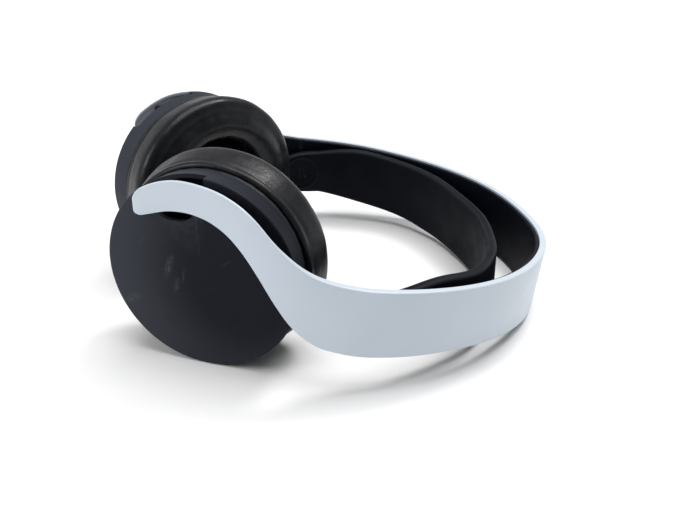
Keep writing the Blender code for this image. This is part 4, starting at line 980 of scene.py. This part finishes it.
# Raised marks, as (turn from the control's middle in degrees, half size across the rim and along it).
MARKS = {
    "mute_button": ((0.0, 0.35, 2.0),),
    "monitor_button": ((0.0, 0.5, 0.5),),
    "volume_rocker": ((MARK_TURN, 0.22, 1.0), (MARK_TURN, 1.0, 0.22), (-MARK_TURN, 0.22, 1.0)),
    "balance_rocker": ((MARK_TURN, 0.5, 0.5), (-MARK_TURN, 0.22, 1.0)),
    "power_slider": tuple((turn, 0.9, 0.18) for turn in (-1.2, 0.0, 1.2)),
}
for name, at, length, width in (*BUTTONS, *ROCKERS, ("power_slider", POWER_PLACE, POWER_LENGTH, POWER_WIDTH)):
    body = rim_block(control_section(width), at, length, CUP_RADIUS, 16)
    control = cup_piece(f"{name}_cap", body, button_black)
    rounding = control.modifiers.new("edge", "BEVEL")
    rounding.width = CONTROL_EDGE * MM
    rounding.segments = 3
    rounding.angle_limit = math.radians(60)
    applied(control)
    control.data.shade_smooth()
    control.data.set_sharp_from_angle(angle=math.radians(40))
    bars = [raised_bar(at + turn, across, along) for turn, across, along in MARKS[name]]
    raised = cup_piece(f"{name}_mark", joined(bars), button_black)
    for piece in (control, raised):
        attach(piece, name)
    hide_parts(name)


# --------------------------------------
# Sockets, status lens and microphones in the left cup: a steel charging socket with its black tongue and
# gold contacts, an audio socket with a rolled lip, a milky lens, and two capsules behind pin holes.
SOCKET_OUTER = CONTROL_OUTER - CONTROL_PROUD - 0.3
USB_INNER, USB_WALL, USB_BACK = SOCKET_OUTER - 7.0, 0.35, 1.2
TONGUE_HALF, TONGUE_LENGTH, TONGUE_OVERLAP = (0.35, 3.2), 4.6, 0.1
CONTACTS, CONTACT_PITCH, CONTACT_HALF, CONTACT_RISE = 6, 0.95, 0.2, 0.05
JACK_BORE, JACK_LENGTH = 1.75, 9.0


sleeve = along_radius(usb_outline(), USB_PLACE, USB_INNER, SOCKET_OUTER)
usb_shell = cup_piece("usb_shell", sleeve, bright_steel)
mouth = along_radius(usb_outline(-USB_WALL), USB_PLACE, USB_INNER + USB_BACK, SOCKET_OUTER + 1)
cut(usb_shell, cup_piece("mouth", mouth, bright_steel))
start = USB_INNER + USB_BACK - TONGUE_OVERLAP
bar = along_radius(rounded_box(*TONGUE_HALF, 0.2), USB_PLACE, start, start + TONGUE_LENGTH)
tongue = cup_piece("usb_tongue", bar, hard_black)
gold = brushed_steel("contact_gold", (0.78, 0.56, 0.24), 0.28)
contacts = []
for number in range(CONTACTS):
    up = (number - (CONTACTS - 1) / 2) * CONTACT_PITCH
    for face in (-TONGUE_HALF[0], TONGUE_HALF[0]):
        out = face + math.copysign(CONTACT_RISE, face)
        low, high = up - CONTACT_HALF, up + CONTACT_HALF
        strip = [(face, low), (face, high), (out, high), (out, low)]
        contacts.append(along_radius(strip, USB_PLACE, SOCKET_OUTER - 5.0, SOCKET_OUTER - 1.6))
contact_strips = cup_piece("usb_contacts", joined(contacts), gold)
inner = SOCKET_OUTER - JACK_LENGTH
barrel = [(0, inner), (JACK_RADIUS, inner)]
barrel += [(JACK_RADIUS - less, SOCKET_OUTER - down) for less, down in ((0, 0.25), (0.08, 0.07), (0.25, 0))]
barrel += [(JACK_BORE + more, SOCKET_OUTER - down) for more, down in ((0.25, 0), (0.07, 0.08), (0, 0.3))]
barrel += [(JACK_BORE, inner + 1), (0, inner + 1)]
jack = cup_piece("audio_jack", at_rim(turned(barrel, 40), JACK_PLACE), hard_black)
steps = ((0.12, 2.2), (0.01, 2.2), (0.01, 1.0), (0.12, 1.0))
ring = [(JACK_BORE - less, SOCKET_OUTER - down) for less, down in steps]
jack_ring = cup_piece("jack_contact", at_rim(turned(ring, 40), JACK_PLACE), bright_steel)
milky, tree, shader, place = new_finish("milky_lens", 0.18, Transmission_Weight=0.35, Coat_Weight=0.4)
tone = mixed(tree, cloud(tree, place, 0.8), (0.62, 0.62, 0.60), (0.75, 0.75, 0.74))
set_inputs(shader, {"Base Color": tone, "Normal": relief(tree, cloud(tree, place, 0.4), 0.01)})
dome = [(0, SOCKET_OUTER - 4), (LENS_RADIUS, SOCKET_OUTER - 4), (LENS_RADIUS, SOCKET_OUTER - 0.1)]
for angle in np.radians((20, 45, 70)):
    dome.append((LENS_RADIUS * math.cos(angle), SOCKET_OUTER - 0.1 + 0.3 * math.sin(angle)))
dome.append((0, SOCKET_OUTER + 0.2))
lens = cup_piece("lens", at_rim(turned(dome, 32), LENS_PLACE), milky)
for piece, slot in ((usb_shell, "steel"), (tongue, "black_plastic"), (contact_strips, "steel"),
                    (jack, "black_plastic"), (jack_ring, "steel"), (lens, "status_lens")):
    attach(piece, "cup_left")
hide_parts("usb_socket")
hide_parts("audio_socket")
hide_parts("status_lens")
refinish(["microphone_lower", "microphone_upper"], bright_steel)


# --------------------------------------
# Main board behind the left disc and battery pouch behind the right one. Green solder mask over copper
# tracks, and a foil pouch with a slightly creased face.
board, tree, shader, place = new_finish("circuit_board", 0.35, Coat_Weight=0.4, Coat_Roughness=0.2)
flat = add_node(tree, "ShaderNodeMapping", {"Vector": place, "Rotation": (math.pi / 2, 0, 0)})
tracks = add_node(tree, "ShaderNodeTexBrick", {"Vector": flat, "Scale": 260.0, "Mortar Size": 0.06}, 1)
set_inputs(shader, {"Base Color": mixed(tree, tracks, (0.010, 0.075, 0.030), (0.04, 0.16, 0.06)),
                    "Normal": relief(tree, tracks, 0.03)})
pouch, tree, shader, place = new_finish("battery_pouch", 0.32, Metallic=0.8)
# The foil is darker in the hollows of its crease relief: painted shade.
crease_relief_and_shade = cloud(tree, place, 9, 6.0)
set_inputs(shader, {"Base Color": mixed(tree, crease_relief_and_shade, (0.30, 0.31, 0.33), (0.42, 0.43, 0.45)),
                    "Normal": relief(tree, crease_relief_and_shade, 0.3)})
refinish(["main_board"], board)
refinish(["battery"], pouch)


# --------------------------------------
# Studio: a pale table that runs out of sight, a white room that is dimmer on the left cup's side, and soft
# lights above and on both sides. The camera stands outside the left cup and looks down at the headset.
TABLE_HALF, TABLE_DROP = 4000.0, 0.1
paint, tree, shader, place = new_finish("table", 0.75)
tone = mixed(tree, cloud(tree, place, 60), (0.90, 0.90, 0.90), (0.93, 0.93, 0.93))
set_inputs(shader, {"Base Color": tone})
corners = [(x * TABLE_HALF, y * TABLE_HALF, -TABLE_DROP) for x, y in ((-1, -1), (1, -1), (1, 1), (-1, 1))]
table = new_piece("table", (corners, [(0, 1, 2, 3)]), paint)

world = bpy.data.worlds.new("white_room")
world.use_nodes = True
room = world.node_tree
way = room.nodes.new("ShaderNodeSeparateXYZ")
set_inputs(way, {"Vector": object_place(room)})
fall = ranged(room, way.outputs["Z"], 0.05, 0.45, 0.72, 0.34)
front = ranged(room, way.outputs["Y"], -0.9, 0.2, 0.22, 1.15)
strength = times(room, fall, front)
set_inputs(room.nodes["Background"], {"Color": (1.0, 1.0, 1.0, 1.0), "Strength": strength})
bpy.context.scene.world = world


def softbox(name, where, size, power):
    """A square soft light that points at the headset."""
    lamp = bpy.data.lights.new(name, "AREA")
    lamp.size = size
    lamp.energy = power
    obj = bpy.data.objects.new(name, lamp)
    obj.location = where
    obj.rotation_euler = (Vector((-0.03, 0, 0.04)) - Vector(where)).to_track_quat("-Z", "Y").to_euler()
    bpy.context.collection.objects.link(obj)


daylight = bpy.data.lights.new("ceiling_light", "SUN")
daylight.energy = 2.25
daylight.angle = math.radians(50)
ceiling = bpy.data.objects.new("ceiling_light", daylight)
ceiling.rotation_euler = Vector((-0.12, 0.02, -1.0)).to_track_quat("-Z", "Y").to_euler()
bpy.context.collection.objects.link(ceiling)
softbox("side_light", (-0.75, -0.20, 0.45), 0.30, 2.2)
softbox("right_light", (0.42, 0.22, 0.85), 0.26, 3.2)

CAMERA_AT, CAMERA_LOOKS_AT = Vector((-0.07319, -0.39457, 0.21495)), Vector((-0.0119, -0.0756, 0.0558))
CAMERA_LENS, CAMERA_ROLL = 48.48, math.radians(0.2)
camera_data = bpy.data.cameras.new("camera")
camera_data.lens = CAMERA_LENS
camera_data.clip_start = 0.01
camera = bpy.data.objects.new("camera", camera_data)
turn = (CAMERA_LOOKS_AT - CAMERA_AT).to_track_quat("-Z", "Y").to_matrix().to_4x4()
camera.matrix_world = Matrix.Translation(CAMERA_AT) @ turn @ Matrix.Rotation(CAMERA_ROLL, 4, "Z")
bpy.context.collection.objects.link(camera)
bpy.context.scene.camera = camera
bpy.context.scene.view_settings.view_transform = "Standard"
